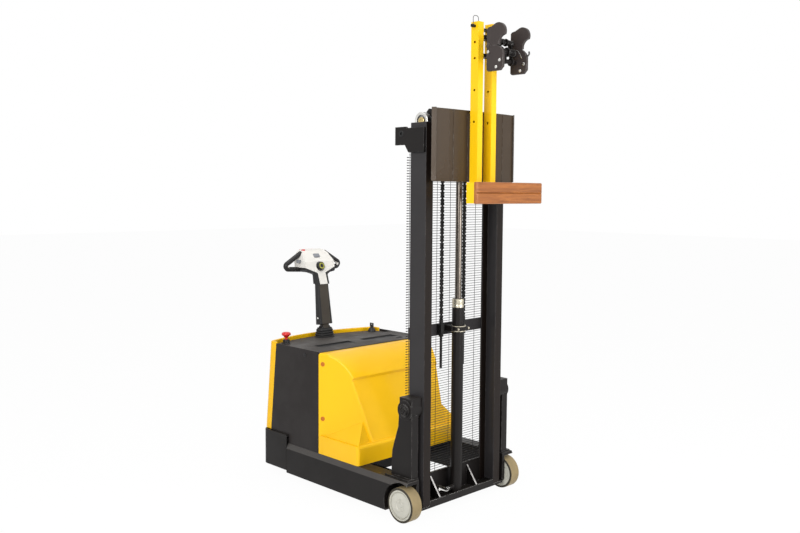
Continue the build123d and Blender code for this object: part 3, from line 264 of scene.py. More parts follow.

# %% [markdown]
# ## Worn edges and painted edge highlights
# Edges get knocked, and the paint chips off them. The wear could be painted by hand, but a Bevel
# node finds every edge: near one, its rounded normal turns away from the true one. A finer noise
# breaks the line up into chips. With a light bare colour, as on the deck plastic, the same group
# paints highlights along the edges.

# %% Worn edges and edge highlights
chipped_and_highlit_edges, got, out = start_group(
    "edge_chips_and_highlights", ("Vector", "Colour", "Bare", "Width", "Amount"), ("Colour", "Mask"))
rounded = add_node(chipped_and_highlit_edges, "Bevel", {"Radius": got["Width"]}, samples=4).outputs["Normal"]
true_normal = add_node(chipped_and_highlit_edges, "NewGeometry").outputs["Normal"]
facing = add_node(chipped_and_highlit_edges, "VectorMath", {0: rounded, 1: true_normal}, operation="DOT_PRODUCT")
edge = graded(chipped_and_highlit_edges, facing.outputs["Value"], 0.985, 0.86)
chips = graded(chipped_and_highlit_edges, cloudiness(chipped_and_highlit_edges, got["Vector"], 38.0, 6.0, 0.65), 0.42, 0.66)
rubbed_and_highlit = product(chipped_and_highlit_edges, product(chipped_and_highlit_edges, edge, chips), got["Amount"])
feed(out, {"Colour": tinted(chipped_and_highlit_edges, rubbed_and_highlit, got["Colour"], got["Bare"]), "Mask": rubbed_and_highlit})
print("group:", chipped_and_highlit_edges.name)

# %% [markdown]
# ## Settled dust
# Dust lies on what faces up and hardly at all on upright sides. The height of the normal tells
# the two apart, and a noise makes the film thick and thin by turns. Its mask also makes the gloss
# dull.

# %% Settled dust
dusty, got, out = start_group(
    "settled_dust", ("Vector", "Colour", "Dust", "Amount"), ("Colour", "Mask"))
lean = add_node(dusty, "SeparateXYZ", {0: add_node(dusty, "TexCoord").outputs["Normal"]})
tops = graded(dusty, lean.outputs["Z"], 0.15, 0.95, 0.08, 1.0)
drift = graded(dusty, cloudiness(dusty, got["Vector"], 7.0, 7.0, 0.6), 0.3, 0.75)
film = product(dusty, product(dusty, tops, drift), got["Amount"])
feed(out, {"Colour": tinted(dusty, film, got["Colour"], got["Dust"]), "Mask": film})
print("group:", dusty.name)

# %% [markdown]
# ## Fine grain and brushed lines
# Sprayed paint has the skin of an orange, and moulded plastic a fine texture: both are one small
# noise that goes to a bump. Bright metal has lines where a wheel or a die drew along it: a noise
# on coordinates that are stretched more one way than the other.

# %% Fine grain and brushed lines
grain, got, out = start_group("fine_grain", ("Vector", "Scale"), ("Height",))
feed(out, {"Height": cloudiness(grain, got["Vector"], got["Scale"], 2.0)})

brushed, got, out = start_group("brushed_lines", ("Vector", "Stretch"), ("Lines",))
drawn_out = add_node(brushed, "VectorMath", {0: got["Vector"], 1: got["Stretch"]},
                     operation="MULTIPLY")
feed(out, {"Lines": cloudiness(brushed, drawn_out.outputs[0], 1.0, 3.0)})
print("groups:", grain.name, brushed.name)

# %% [markdown]
# ## Painted and moulded finishes
# A finish is a Principled shader with the groups in front of it. Paint, moulded plastic and
# rubber differ only in colour, gloss, grain, edge wear and dust, so one function makes them all.
# On the deck plastic the edge wear, with a light bare colour, paints highlights along the edges.
# What is the same all over a surface, such as the coat or the strength of the shine, is set on the
# shader itself. Black paint gets a weak shine, because a white studio in its gloss would turn it
# grey.

# %% A maker for coatings
def place_group(tree, group, **inputs):
    return add_node(tree, "Group", inputs, node_tree=group).outputs


def opaque(colour, factor=1.0):
    return tuple(part * factor for part in colour) + (1,)


def coating(name, colour, rough, patch=0.35, patch_scale=6.0, peel=220.0, bump=0.06,
            bare=(0.30, 0.29, 0.28), wear_and_highlight=0.5, width=0.003, dust=0.25,
            dust_tone=(0.12, 0.105, 0.09), coat=0.0, shine=0.22):
    tree, shader = new_look(name)
    place = add_node(tree, "TexCoord").outputs["Object"]
    tone = place_group(tree, uneven, Vector=place, Colour=opaque(colour),
                       Shade=opaque(colour, 0.72), Scale=patch_scale, Amount=patch)
    edges = place_group(tree, chipped_and_highlit_edges, Vector=place, Colour=tone["Colour"], Bare=opaque(bare),
                        Width=width, Amount=wear_and_highlight)
    settled = place_group(tree, dusty, Vector=place, Colour=edges["Colour"], Dust=opaque(dust_tone),
                          Amount=dust)
    gloss = graded(tree, tone["Cloud"], 0.0, 1.0, rough - 0.06, rough + 0.08)
    matt = add_node(tree, "Math", {0: gloss, 1: settled["Mask"]}, operation="ADD", use_clamp=True)
    texture = place_group(tree, grain, Vector=place, Scale=peel)
    relief = add_node(tree, "Bump",
                      {"Strength": bump, "Distance": 0.002, "Height": texture["Height"]})
    feed(shader, {"Base Color": settled["Colour"], "Roughness": matt.outputs[0],
                  "Normal": relief.outputs["Normal"], "Specular IOR Level": shine,
                  "Coat Weight": coat, "Coat Roughness": 0.12})


print("coatings can be mixed")

# %% [markdown]
# ## The coatings
# Each call is one coating of the real lifter: its colour, how rough it is, and whatever else sets
# it apart. The blacks are all a little different, because paint, sheet, plastic and rubber are.
# Wear on yellow shows the amber undercoat instead of grey metal.

# %% Mix the coatings
amber_wear = {"bare": (0.50, 0.24, 0.03), "dust_tone": (0.62, 0.36, 0.05), "dust": 0.1}
coating("black_paint", (0.0088, 0.0074, 0.0070), 0.36, wear_and_highlight=0.7, dust=0.12, shine=0.16)
coating("black_panel", (0.0180, 0.0152, 0.0146), 0.45, peel=420.0, bump=0.12, wear_and_highlight=0.2, dust=0.08,
        shine=0.15)
coating("mast_grey", (0.028, 0.0262, 0.0272), 0.34, wear_and_highlight=0.6, dust=0.06, shine=0.16)
coating("yellow_cover", (0.80, 0.45, 0.002), 0.42, patch=0.12, peel=90.0, bump=0.015, wear_and_highlight=0.04,
        coat=0.25, shine=0.16, **amber_wear)
coating("yellow_paint", (0.80, 0.48, 0.003), 0.4, patch=0.12, wear_and_highlight=0.45, width=0.002, coat=0.25,
        shine=0.16, **amber_wear)
# the deck plastic's strong edge wear with a light bare colour paints highlights along its edges
coating("deck_plastic", (0.044, 0.040, 0.037), 0.5, peel=520.0, bump=0.25, wear_and_highlight=0.9, width=0.004,
        bare=(0.13, 0.12, 0.12), shine=0.16)
coating("hub_cream", (0.47, 0.46, 0.40), 0.28, bare=(0.62, 0.6, 0.54), wear_and_highlight=0.6, dust=0.15,
        dust_tone=(0.3, 0.26, 0.2), shine=0.5)
coating("urethane", (0.25, 0.19, 0.095), 0.45, patch=0.5, patch_scale=14.0, peel=90.0,
        bare=(0.14, 0.11, 0.07), wear_and_highlight=0.4, dust=0.2)
coating("drive_tyre", (0.03, 0.027, 0.024), 0.55, patch=0.4, wear_and_highlight=0.3, dust=0.3)
coating("iron", (0.04, 0.04, 0.04), 0.6, peel=120.0, bump=0.3, wear_and_highlight=0.3, dust=0.3)
coating("battery_case", (0.035, 0.036, 0.04), 0.45, wear_and_highlight=0.2)
coating("pump_paint", (0.07, 0.073, 0.08), 0.4, dust=0.3)
coating("red", (0.58, 0.014, 0.012), 0.26, patch=0.15, wear_and_highlight=0.15, bare=(0.75, 0.15, 0.1), dust=0.0,
        coat=0.2, shine=0.4)
coating("head_white", (0.66, 0.64, 0.60), 0.42, patch=0.12, peel=500.0, bump=0.1, wear_and_highlight=0.1,
        bare=(0.6, 0.56, 0.48), dust=0.06, dust_tone=(0.5, 0.46, 0.38), shine=0.35)
coating("black_plastic", (0.016, 0.0155, 0.016), 0.4, peel=480.0, bump=0.15, wear_and_highlight=0.2, dust=0.15)
coating("rubber", (0.012, 0.012, 0.0125), 0.5, peel=350.0, bump=0.12, wear_and_highlight=0.15, dust=0.2)
coating("wire", (0.012, 0.0115, 0.0115), 0.4, wear_and_highlight=0.0, dust=0.05)
print("finishes:", len(finish))

# %% [markdown]
# ## Coatings for places that differ
# Grease and age turn some black paint brown, and a few fittings have a colour of their own. Some
# of these finishes are painted light: the darker brown for the mast's front faces is painted
# shade, and the lighter grey for the legs' upper bevels and for the top edges of the lid and
# console is painted highlight. The sides of the wheel bands get a darker finish than the tread.
# Such places could be painted into the main finish with a mask, but a finish of their own is
# easier to hand out.

# %% Mix the other coatings
coating("plate_brown", (0.050, 0.033, 0.019), 0.3, patch=0.5, patch_scale=3.0, dust=0.05)
coating("column_brown", (0.052, 0.043, 0.033), 0.42, peel=480.0, bump=0.12, wear_and_highlight=0.2, dust=0.05)
coating("jaw_brown", (0.040, 0.0315, 0.0295), 0.4, patch=0.5, patch_scale=9.0, wear_and_highlight=0.6, dust=0.05)
# painted shade: a darker brown for the mast channels' front faces
coating("mast_front_painted_shade", (0.0115, 0.0078, 0.0062), 0.38, patch=0.6, dust=0.03, shine=0.14)
# painted highlight: a lighter grey for the top edges of the lid and the console
coating("lid_edge_painted_highlight", (0.085, 0.078, 0.072), 0.45, patch=0.4, wear_and_highlight=0.3, dust=0.1)
# painted highlight: a lighter grey for the legs' upper bevels, which face up
coating("leg_top_painted_highlight", (0.050, 0.046, 0.043), 0.4, patch=0.5, patch_scale=5.0, wear_and_highlight=0.3, dust=0.1)
coating("chain_black", (0.012, 0.0115, 0.011), 0.32, wear_and_highlight=0.25, width=0.001, dust=0.02)
# a darker finish for the sides of the wheel bands
coating("dark_band_side", (0.035, 0.03, 0.02), 0.5, patch=0.5, wear_and_highlight=0.3, dust=0.1)
coating("cap_orange", (0.46, 0.14, 0.012), 0.4, wear_and_highlight=0.2, bare=(0.3, 0.1, 0.02), dust=0.05,
        shine=0.3)
coating("window_grey", (0.20, 0.21, 0.23), 0.3, wear_and_highlight=0.3, dust=0.1, shine=0.4)
coating("lens_olive", (0.30, 0.29, 0.02), 0.2, patch=0.4, wear_and_highlight=0.0, dust=0.0, coat=0.5, shine=0.5)
print("finishes with odd places:", len(finish))

# %% [markdown]
# ## Bright metals
# The ram, bolts, rollers and fittings are bare or plated metal. Their colour is dull in the shade
# and strong in the light, which a fully metallic shader does by itself. The brushed lines go to
# the roughness, so that the shine breaks up along them.

# %% Bright metals
def bright_metal(name, colour, rough, stretch, spread=0.1):
    tree, shader = new_look(name)
    place = add_node(tree, "TexCoord").outputs["Object"]
    tone = place_group(tree, uneven, Vector=place, Colour=opaque(colour), Shade=opaque(colour, 0.6),
                       Scale=24.0, Amount=0.5)
    marks = place_group(tree, brushed, Vector=place, Stretch=stretch)
    gloss = graded(tree, marks["Lines"], 0.3, 0.7, rough - spread, rough + spread)
    feed(shader, {"Base Color": tone["Colour"], "Roughness": gloss, "Metallic": 1.0})


# painted reflection: the chrome's dark bronze colour stands in for the dark surroundings the ram
# reflects
bright_metal("chrome", (0.165, 0.142, 0.12), 0.2, (40, 40, 4), 0.06)
bright_metal("zinc", (0.62, 0.57, 0.45), 0.32, (160, 160, 160))
bright_metal("steel", (0.30, 0.295, 0.29), 0.32, (30, 300, 300))
bright_metal("bright_zinc", (0.78, 0.77, 0.74), 0.28, (200, 200, 200))
bright_metal("brass", (0.62, 0.48, 0.22), 0.3, (160, 160, 160))
# painted highlight: bright metal for the mast foot's sloping rib faces
bright_metal("rib_painted_highlight", (0.72, 0.70, 0.68), 0.35, (90, 90, 90))
print("finishes with metals:", len(finish))

# %% [markdown]
# ## Wooden bumper
# The bar that the drum leans on is a plank of brown hardwood. Its grain runs along the bar, so a
# noise is drawn out that way by a Mapping node, and a colour ramp turns it into light and dark
# growth. The same noise feeds the gloss and a fine bump, so that the dark pores are also dull and
# sunken.

# %% Wood
tree, shader = new_look("bumper_wood")
place = add_node(tree, "TexCoord").outputs["Object"]
along = add_node(tree, "Mapping", {"Vector": place, "Scale": (1.6, 26, 26)})
growth = cloudiness(tree, along.outputs["Vector"], 3.0, 8.0, 0.62, twist=1.2)
rings = add_node(tree, "ValToRGB", {"Fac": growth})
dark, light = rings.color_ramp.elements
dark.position, dark.color = 0.30, (0.17, 0.052, 0.012, 1)
light.position, light.color = 0.70, (0.36, 0.128, 0.032, 1)
ends = place_group(tree, chipped_and_highlit_edges, Vector=place, Colour=rings.outputs["Color"],
                   Bare=(0.52, 0.24, 0.08, 1), Width=0.004, Amount=0.5)
pores = add_node(tree, "Bump", {"Strength": 0.15, "Distance": 0.001, "Height": growth})
feed(shader, {"Base Color": ends["Colour"], "Roughness": graded(tree, growth, 0.2, 0.8, 0.42, 0.3),
              "Normal": pores.outputs["Normal"], "Specular IOR Level": 0.3})
print("finishes with wood:", len(finish))

# %% [markdown]
# ## Finish every solid
# The record names a material slot for each node, and most finishes have the slot's own name. A
# few nodes look different from the rest of their slot in the picture, so they are listed here.

# %% Hand out the finishes
slot_of = {part["node"]: part["material_slot"] for part in frame["record"]["subparts"]}
bodies = frame["record"]["behaviour"]["bodies"]
body_of = {node: body for body, nodes in bodies.items() for node in nodes}
jaws = ("head_left", "head_right", "beak_left", "beak_right")
look_of = slot_of | dict.fromkeys(jaws, "jaw_brown") | {
    "carriage_plate": "plate_brown", "tiller_column": "column_brown", "throttle": "window_grey",
    "lift_rocker": "window_grey", "cylinder_clamp": "black_paint", "chain_anchors": "chain_black",
    "cylinder_barrel": "black_paint", "key": "black_plastic", "steering_post": "black_paint",
}
for node, solid in frame["nodes"].items():
    for holder in solid.material_slots:
        holder.material = finish[look_of[node]]
print("finished nodes:", len(look_of))

# %% [markdown]
# ## One piece at a time
# An operator acts on all that is selected, so each tool below first selects its own piece and
# nothing else. A bevel and weighted normals are modifiers, set up and then applied, as with the
# Apply button.

# %% Select, edit and ease
def nothing_selected():
    if bpy.context.mode != "OBJECT":
        bpy.ops.object.mode_set(mode="OBJECT")
    bpy.ops.object.select_all(action="DESELECT")


def only(piece):
    nothing_selected()
    piece.select_set(True)
    bpy.context.view_layer.objects.active = piece


def edit(piece):
    """Go into edit mode with the whole piece selected."""
    only(piece)
    bpy.ops.object.mode_set(mode="EDIT")
    bpy.ops.mesh.select_all(action="SELECT")


def apply_modifier(piece, kind, **values):
    only(piece)
    step = piece.modifiers.new(kind.lower(), kind)
    for key, value in values.items():
        setattr(step, key, value)
    bpy.ops.object.modifier_apply(modifier=step.name)


def eased(piece, width, segments=2, angle=32):
    """Bevel every edge sharper than the angle."""
    apply_modifier(piece, "BEVEL", width=width / 1000, segments=segments, limit_method="ANGLE",
                   angle_limit=radians(angle), use_clamp_overlap=True, harden_normals=False)


def smooth(piece, angle=38):
    """Shade smooth below the angle, with the large flat faces kept flat."""
    only(piece)
    bpy.ops.object.shade_smooth_by_angle(angle=radians(angle))
    apply_modifier(piece, "WEIGHTED_NORMAL", mode="FACE_AREA", weight=50, keep_sharp=True)


print("select, edit and ease ready")

# %% [markdown]
# ## Softened edges
# A solid from the drawing has knife edges, and a knife edge never catches the light. Real sheet,
# castings and mouldings have a small radius. The solid itself stays as it is: a copy is merged,
# its flat faces are joined, and a bevel is applied to every sharp edge. The copy then stands for
# the solid. How wide the bevel is depends on how the piece is made: cut plate 1 to 3 mm, pressed
# legs and mouldings 3 to 6 mm.

# %% Copy and soften
def solid_copy(node, name):
    """A merged copy of a solid, with its loose triangles joined into whole faces."""
    piece = bpy.data.objects.new(name, frame["nodes"][node].data.copy())
    scene.collection.objects.link(piece)
    edit(piece)
    bpy.ops.mesh.remove_doubles(threshold=0.00002)
    bpy.ops.mesh.dissolve_limited(angle_limit=radians(0.5))
    bpy.ops.object.mode_set(mode="OBJECT")
    return piece


def soften(node, width):
    piece = solid_copy(node, node + "_soft")
    eased(piece, width)
    smooth(piece)
    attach(piece, body_of[node])
    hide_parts(node)
    return piece


rounding = {
    "leg_left": 6, "leg_right": 6, "rear_skirt": 4, "side_panels": 1.5, "front_cover": 5,
    "rear_cover": 5, "console": 2.5, "battery_lid": 3, "mast_channel_left": 2.5,
    "mast_channel_right": 2.5, "lifting_lugs": 2, "mast_ties": 2, "mast_foot": 1.5,
    "mast_towers": 3, "cylinder_clamp": 2, "cylinder_barrel": 1, "crosshead": 2,
    "carriage_frame": 2, "carriage_plate": 1.5, "gripper_posts": 1.8, "bumper_bracket": 2,
    "bumper_bar": 3, "head_carrier": 2, "head_left": 1.5, "head_right": 1.5, "beak_left": 1.5,
    "beak_right": 1.5, "tiller_grips": 3, "throttle": 2.5, "lift_rocker": 2, "belly_button": 4,
    "drive_unit": 2, "drive_motor": 2, "hydraulic_pipe": 1, "chain_anchors": 1, "pump_unit": 3,
    "batteries": 3, "counterweight": 3, "steering_post": 2, "chassis_tray": 1.5, "horn_button": 4,
    "key": 1.2, "drive_wheel": 2, "chain_sheaves": 1, "upper_rollers": 1, "lower_rollers": 1,
    "lock_pin": 1, "ram_rod": 0.5,
}
softened = {node: soften(node, width) for node, width in rounding.items()}
print("softened:", len(softened), "nodes")

# %% [markdown]
# ## Bright and dark places
# Some light and shade is painted on here. The foot's sloping rib faces, which face the front and
# the top, get bright bare metal as painted highlight. The legs' upper bevels and the top edges of
# the lid and console get a lighter grey, also painted highlight. The mast's front faces get a
# darker brown, and the hand pockets in the lid the dark rubber finish: both are painted shade.
# None is a piece of its own, so nothing is cut up: the faces are picked by their place and normal,
# and get a second finish in a slot of their own.

# %% Pick faces for a second finish
def second_finish(piece, look, wanted):
    """Give the faces whose middle and normal are wanted another finish."""
    edit(piece)
    bpy.ops.mesh.select_mode(type="FACE")
    bpy.ops.mesh.select_all(action="DESELECT")
    shape = bmesh.from_edit_mesh(piece.data)
    picked = [face for face in shape.faces if wanted(face.calc_center_median(), face.normal)]
    for face in picked:
        face.select_set(True)
    bmesh.update_edit_mesh(piece.data)
    piece.data.materials.append(finish[look])
    piece.active_material_index = len(piece.data.materials) - 1
    bpy.ops.object.material_slot_assign()
    bpy.ops.object.mode_set(mode="OBJECT")
    return len(picked)


lid_face, deck_face, grip_shoulder = 0.7752, 0.759, 1.235
pocket_front, pocket_back, pocket_side = at(0, 790, 0).y, at(0, 890, 0).y, 0.32
# painted highlight on the foot's sloping rib faces, which face the front and the top
highlit_rib_faces = second_finish(
    softened["mast_foot"], "rib_painted_highlight",
    lambda spot, normal: normal.y < -0.25 and normal.z > 0.2 and abs(normal.x) < 0.5)
# painted shade on the mast channels' front faces, and painted highlight on the legs' upper bevels
for side in ("left", "right"):
    second_finish(softened["mast_channel_" + side], "mast_front_painted_shade",
                  lambda spot, normal: normal.y < -0.7)
    second_finish(softened["leg_" + side], "leg_top_painted_highlight", lambda spot, normal: 0.35 < normal.z < 0.97)
second_finish(
    softened["tiller_grips"], "head_white",
    lambda spot, normal: normal.x * spot.x < -0.3 * abs(spot.x) and spot.z < grip_shoulder)
# painted shade: the hand pockets in the lid get the dark rubber finish
second_finish(
    softened["battery_lid"], "rubber",
    lambda spot, normal: spot.z < lid_face and normal.z > -0.5 and abs(spot.x) < pocket_side
    and pocket_front < spot.y < pocket_back)
# painted highlight along the top edges of the lid and the console
second_finish(softened["battery_lid"], "lid_edge_painted_highlight",
              lambda spot, normal: spot.z > lid_face and normal.z < 0.96)
second_finish(softened["console"], "lid_edge_painted_highlight",
              lambda spot, normal: spot.z > deck_face and 0.2 < normal.z < 0.96)
print("bare rib faces:", highlit_rib_faces)

# %% [markdown]
# ## A drawn line
# Most new pieces start as a drawn line: one corner, extruded again and again. What is made from
# it can have doubles and faces that look inwards, so each piece is closed up at the end.

# %% Draw and close up
def drawn(name, points):
    """A line through the points, left in edit mode."""
    nothing_selected()
    bpy.ops.mesh.primitive_plane_add(size=0.01, location=points[0])
    piece = bpy.context.object
    piece.name = name
    bpy.ops.object.transform_apply()
    bpy.ops.object.mode_set(mode="EDIT")
    bpy.ops.mesh.select_mode(type="VERT")
    bpy.ops.mesh.select_all(action="SELECT")
    bpy.ops.mesh.merge(type="CENTER")
    for before, after in zip(points, points[1:]):
        bpy.ops.mesh.extrude_vertices_move(TRANSFORM_OT_translate={"value": after - before})
    return piece


def closed_up(piece):
    """Merge doubles and turn the faces outwards."""
    edit(piece)
    bpy.ops.mesh.remove_doubles(threshold=0.00001)
    bpy.ops.mesh.normals_make_consistent(inside=False)
    bpy.ops.object.mode_set(mode="OBJECT")
    return piece


print("draw and close up ready")

# %% [markdown]
# ## Lathe and plate
# A turned piece spins a drawn line round an axis, as on a lathe. A plate fills the line, extrudes
# it, and has its edges eased. The outlines are in millimetres, so they read like a workshop
# drawing.

# %% Turn and cut
def turned(name, foot, axis, outline, steps=32, ring=False):
    """Spin an outline of (along the axis, radius) in millimetres right round the axis."""
    axis = Vector(axis).normalized()
    away = axis.orthogonal().normalized()
    points = [foot + axis * (a / 1000) + away * (r / 1000) for a, r in outline]
    piece = drawn(name, points + points[:1] if ring else points)
    bpy.ops.mesh.select_all(action="SELECT")
    bpy.ops.mesh.spin(steps=steps, angle=2 * pi, center=foot, axis=axis)
    return closed_up(piece)


def cut_plate(name, outline, depth, ease=0.0):
    """Fill an outline, extrude it by depth, and ease its edges by millimetres."""
    piece = drawn(name, outline)
    bpy.ops.mesh.select_all(action="SELECT")
    bpy.ops.mesh.edge_face_add()
    bpy.ops.mesh.select_all(action="SELECT")
    bpy.ops.mesh.extrude_region_move(TRANSFORM_OT_translate={"value": depth})
    closed_up(piece)
    if ease:
        eased(piece, ease, 2, 40)
    return piece


print("turn and cut ready")

# %% [markdown]
# ## Bars
# A tube turns a drawn line into a curve with a round section, and the curve back into a mesh. A
# rod is straight, so it starts as a cylinder at its size and place, and has its end edges eased.

# %% Bent and straight bars
def tube(name, path, radius, fineness=2):
    """A round bar bent along a path, closed at both ends."""
    drawn(name, path)
    bpy.ops.object.mode_set(mode="OBJECT")
    bpy.ops.object.convert(target="CURVE")
    bar = bpy.context.object
    bar.data.bevel_depth = radius / 1000
    bar.data.bevel_resolution = fineness
    bar.data.use_fill_caps = True
    bpy.ops.object.convert(target="MESH")
    return closed_up(bpy.context.object)


def rod(name, start, end, radius, ease, sides=20):
    nothing_selected()
    run = end - start
    bpy.ops.mesh.primitive_cylinder_add(vertices=sides, radius=radius / 1000, depth=run.length,
                                        location=(start + end) / 2,
                                        rotation=run.to_track_quat("Z", "Y").to_euler())
    piece = bpy.context.object
    piece.name = name
    bpy.ops.object.transform_apply()
    eased(piece, ease, 1, 50)
    return piece


print("bars ready")

# %% [markdown]
# ## Copies and pairs
# The lifter is nearly the same on both sides, so a piece is made on the right and mirrored. A
# mirror turns a mesh inside out, so the copy's faces are turned back. What stands in a row is
# made once and arrayed.

# %% Copy, mirror and repeat
def joined(name, pieces):
    only(pieces[0])
    for piece in pieces[1:]:
        piece.select_set(True)
    bpy.ops.object.join()
    pieces[0].name = name
    return pieces[0]


def copied(piece, name, shift=(0, 0, 0), scale=(1, 1, 1)):
    """A copy with its own mesh, scaled about the origin and moved by shift."""
    only(piece)
    bpy.ops.object.duplicate(linked=False)
    twin = bpy.context.object
    twin.name = name
    twin.location = shift
    twin.scale = scale
    bpy.ops.object.transform_apply()
    return twin


def mirrored(piece, name):
    """A copy on the other side of the middle, turned right side out."""
    return closed_up(copied(piece, name, scale=(-1, 1, 1)))


def pair(name, piece):
    """A piece and its mirror image, as one."""
    return joined(name, [piece, mirrored(piece, name + "_far")])


def arrayed(piece, count, step):
    """The piece repeated in a row, each one a step from the last."""
    apply_modifier(piece, "ARRAY", count=count, use_relative_offset=False, use_constant_offset=True,
                   constant_offset_displace=step)
    return piece


print("copy, mirror and repeat ready")

# %% [markdown]
# ## Dressing a piece
# A new piece is shaded, gets its finish, and is told the body that it travels with. The nodes
# that it stands for are hidden.

# %% Dress
def dress(piece, look, body, *stands_for, slot=None, angle=38):
    smooth(piece, angle)
    piece.data.materials.clear()
    piece.data.materials.append(finish[look])
    if body:
        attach(piece, body)
    if stands_for:
        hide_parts(*stands_for)
    return piece


print("dress ready")

# %% [markdown]
# ## Wire guard
# The guard between the mast channels is welded mesh: thin level wires, close together, with a few
# uprights behind them. Modelling every wire would be a waste, so one wire is made, with six sides
# and eased ends, and an array modifier repeats it. The level wires stand a little past the
# channels, except behind the lifting lugs, and thicker tips show at their ends.

# %% Wires, uprights and tips
upwards = Vector((0, 0, 1))


def sideways(across):
    """A step across, in millimetres."""
    return Vector((across / 1000, 0, 0))


def wires(name, start, run, count, step, radius=1.45, ease=0.4):
    return arrayed(rod(name, start, start + run, radius, sides=6, ease=ease), count, step)


guard_low, guard_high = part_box("mesh_guard")
wire_pitch, upright_count, upright_pitch = 0.0133, 6, 101.8
lug_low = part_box("lifting_lugs")[0].z
long_rows = int((lug_low - 0.01 - guard_low.z) / wire_pitch)
all_rows = int((guard_high.z - guard_low.z) / wire_pitch)
row_step = upwards * wire_pitch
first_row = Vector((0, (guard_low.y + guard_high.y) / 2 - 0.0012, guard_low.z + 0.0015))
first_upright = Vector((-0.2946, first_row.y + 0.0027, guard_low.z))

short_row = first_row + long_rows * row_step
guard = [
    wires("guard_long", first_row - sideways(311), sideways(622), long_rows, row_step),
    wires("guard_short", short_row - sideways(302.5), sideways(605), all_rows - long_rows,
          row_step),
    wires("guard_uprights", first_upright, upwards * (guard_high.z - guard_low.z), upright_count,
          sideways(upright_pitch)),
    pair("guard_tips", wires("guard_tip", first_row - sideways(318), sideways(12), long_rows,
                             row_step, radius=2.7, ease=0.8)),
]
guard = dress(joined("wire_guard", guard), "wire", "chassis", "mesh_guard")
print("guard wires:", all_rows, "level,", upright_count, "upright, faces", len(guard.data.polygons))

# %% [markdown]
# ## Chain links
# Leaf chain is made of waisted plates on pins, three plates and two plates by turns. An outline
# is drawn, filled and extruded for each plate of a pair of links, and the pair is arrayed into a
# strand. The outline's upper half is its lower half turned about, so only one half is written
# down.

# %% Links and strands
plate_r, plate_waist = 7.6, 3.2


def chain_links(name, foot, up, pitch, first, last):
    """Plates and pins for the links from first to last, up from the foot, with plates across X."""
    up = Vector(up).normalized()
    side = up.cross(Vector((1, 0, 0)))
    low_half = [(plate_r, 0), (0.6 * plate_r, -0.8 * plate_r), (-0.6 * plate_r, -0.8 * plate_r),
                (-plate_r, 0), (-plate_waist, pitch / 2)]
    outline = low_half + [(-over, pitch - rise) for over, rise in low_half]
    made = []
    for link in range(first, last):
        pin = foot + up * (link * pitch / 1000)
        for left in ((-8.5, -1, 6.5) if link % 2 == 0 else (-5, 3)):
            corners = [pin + sideways(left) + side * (over / 1000) + up * (rise / 1000)
                       for over, rise in outline]
            made.append(cut_plate(name + "_plate", corners, sideways(2)))
        made.append(rod(name + "_pin", pin - sideways(9), pin + sideways(9), 2.2, sides=6,
                        ease=0.3))
    return joined(name, made)


def strand(name, foot, top, links):
    pitch = (top - foot).z * 1000 / links
    two_links = chain_links(name, foot, upwards, pitch, 0, 2)
    return arrayed(two_links, links // 2, upwards * (2 * pitch / 1000))


print("links ready")

# %% [markdown]
# ## Lift chains
# Two chains run from their anchors up over the sheaves and down to the carriage. Over the sheave
# the links are set round one by one, with two more below them that stay with the sheave. The
# strand behind stays with the chassis, and the strand in front runs from the sheave to the
# carriage. The right chain is made, and the left is its copy.

# %% Strands and sheave wraps
def middle(node):
    low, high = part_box(node)
    return (low + high) / 2


def both_chains(name, piece, body, *stands_for):
    """Join a right chain with its copy on the left, and dress them."""
    chains = joined(name, [piece, copied(piece, name + "_left", (2 * chain_x, 0, 0))])
    slot = None if stands_for else "steel"
    return dress(chains, "chain_black", body, *stands_for, slot=slot, angle=30)


sheave_mid = middle("chain_sheaves")
anchor_top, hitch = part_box("anchor_chains")[0].z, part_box("carriage_chains")[0].z
chain_x, lift_range, tail = 0.087, 0.75, 0.0382
strand_top = sheave_mid.z - tail - 0.0085
axle = Vector((-chain_x, sheave_mid.y, sheave_mid.z))
reach = Vector((0, 0.035, 0))
behind = axle + reach
front = axle - reach
behind_foot = Vector((*behind.xy, anchor_top))
behind_strand = strand("anchor_strand", behind_foot, Vector((*behind.xy, strand_top)), 48)
front_strand = strand("carriage_strand", Vector((*front.xy, hitch)), front, 10)
wrap = [chain_links("wrap_tail", behind - upwards * tail, upwards, tail * 500, 0, 2)]
wrap_links = 6
swings = [pi * n / wrap_links for n in range(wrap_links + 1)]
spokes = [Vector((0, cos(swing), sin(swing))) * reach.y for swing in swings]
for step, (spoke, later) in enumerate(zip(spokes, spokes[1:])):
    run, odd = later - spoke, step % 2
    wrap.append(chain_links("wrap", axle + spoke - run * odd, run, run.length * 1000, odd, odd + 1))

behind_chain = both_chains("anchor_strands", behind_strand, "chassis", "anchor_chains")
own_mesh(behind_chain)
both_chains("sheave_wraps", joined("sheave_wrap", wrap), "ram")
front_chain = both_chains("carriage_strands", front_strand, None, "carriage_chains")
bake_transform(front_chain)
print("chain faces:", len(behind_chain.data.polygons), len(front_chain.data.polygons))

# %% [markdown]
# ## Load wheels
# A load wheel is a cast hub with a band of urethane pressed round it. Both are lathe work, so an
# outline is drawn from the axle outwards and spun. The face of the hub is dished, with a rim that
# catches the light. The sides of the band get a darker finish than its tread. The right wheel
# is made, and the left one is its mirror image.

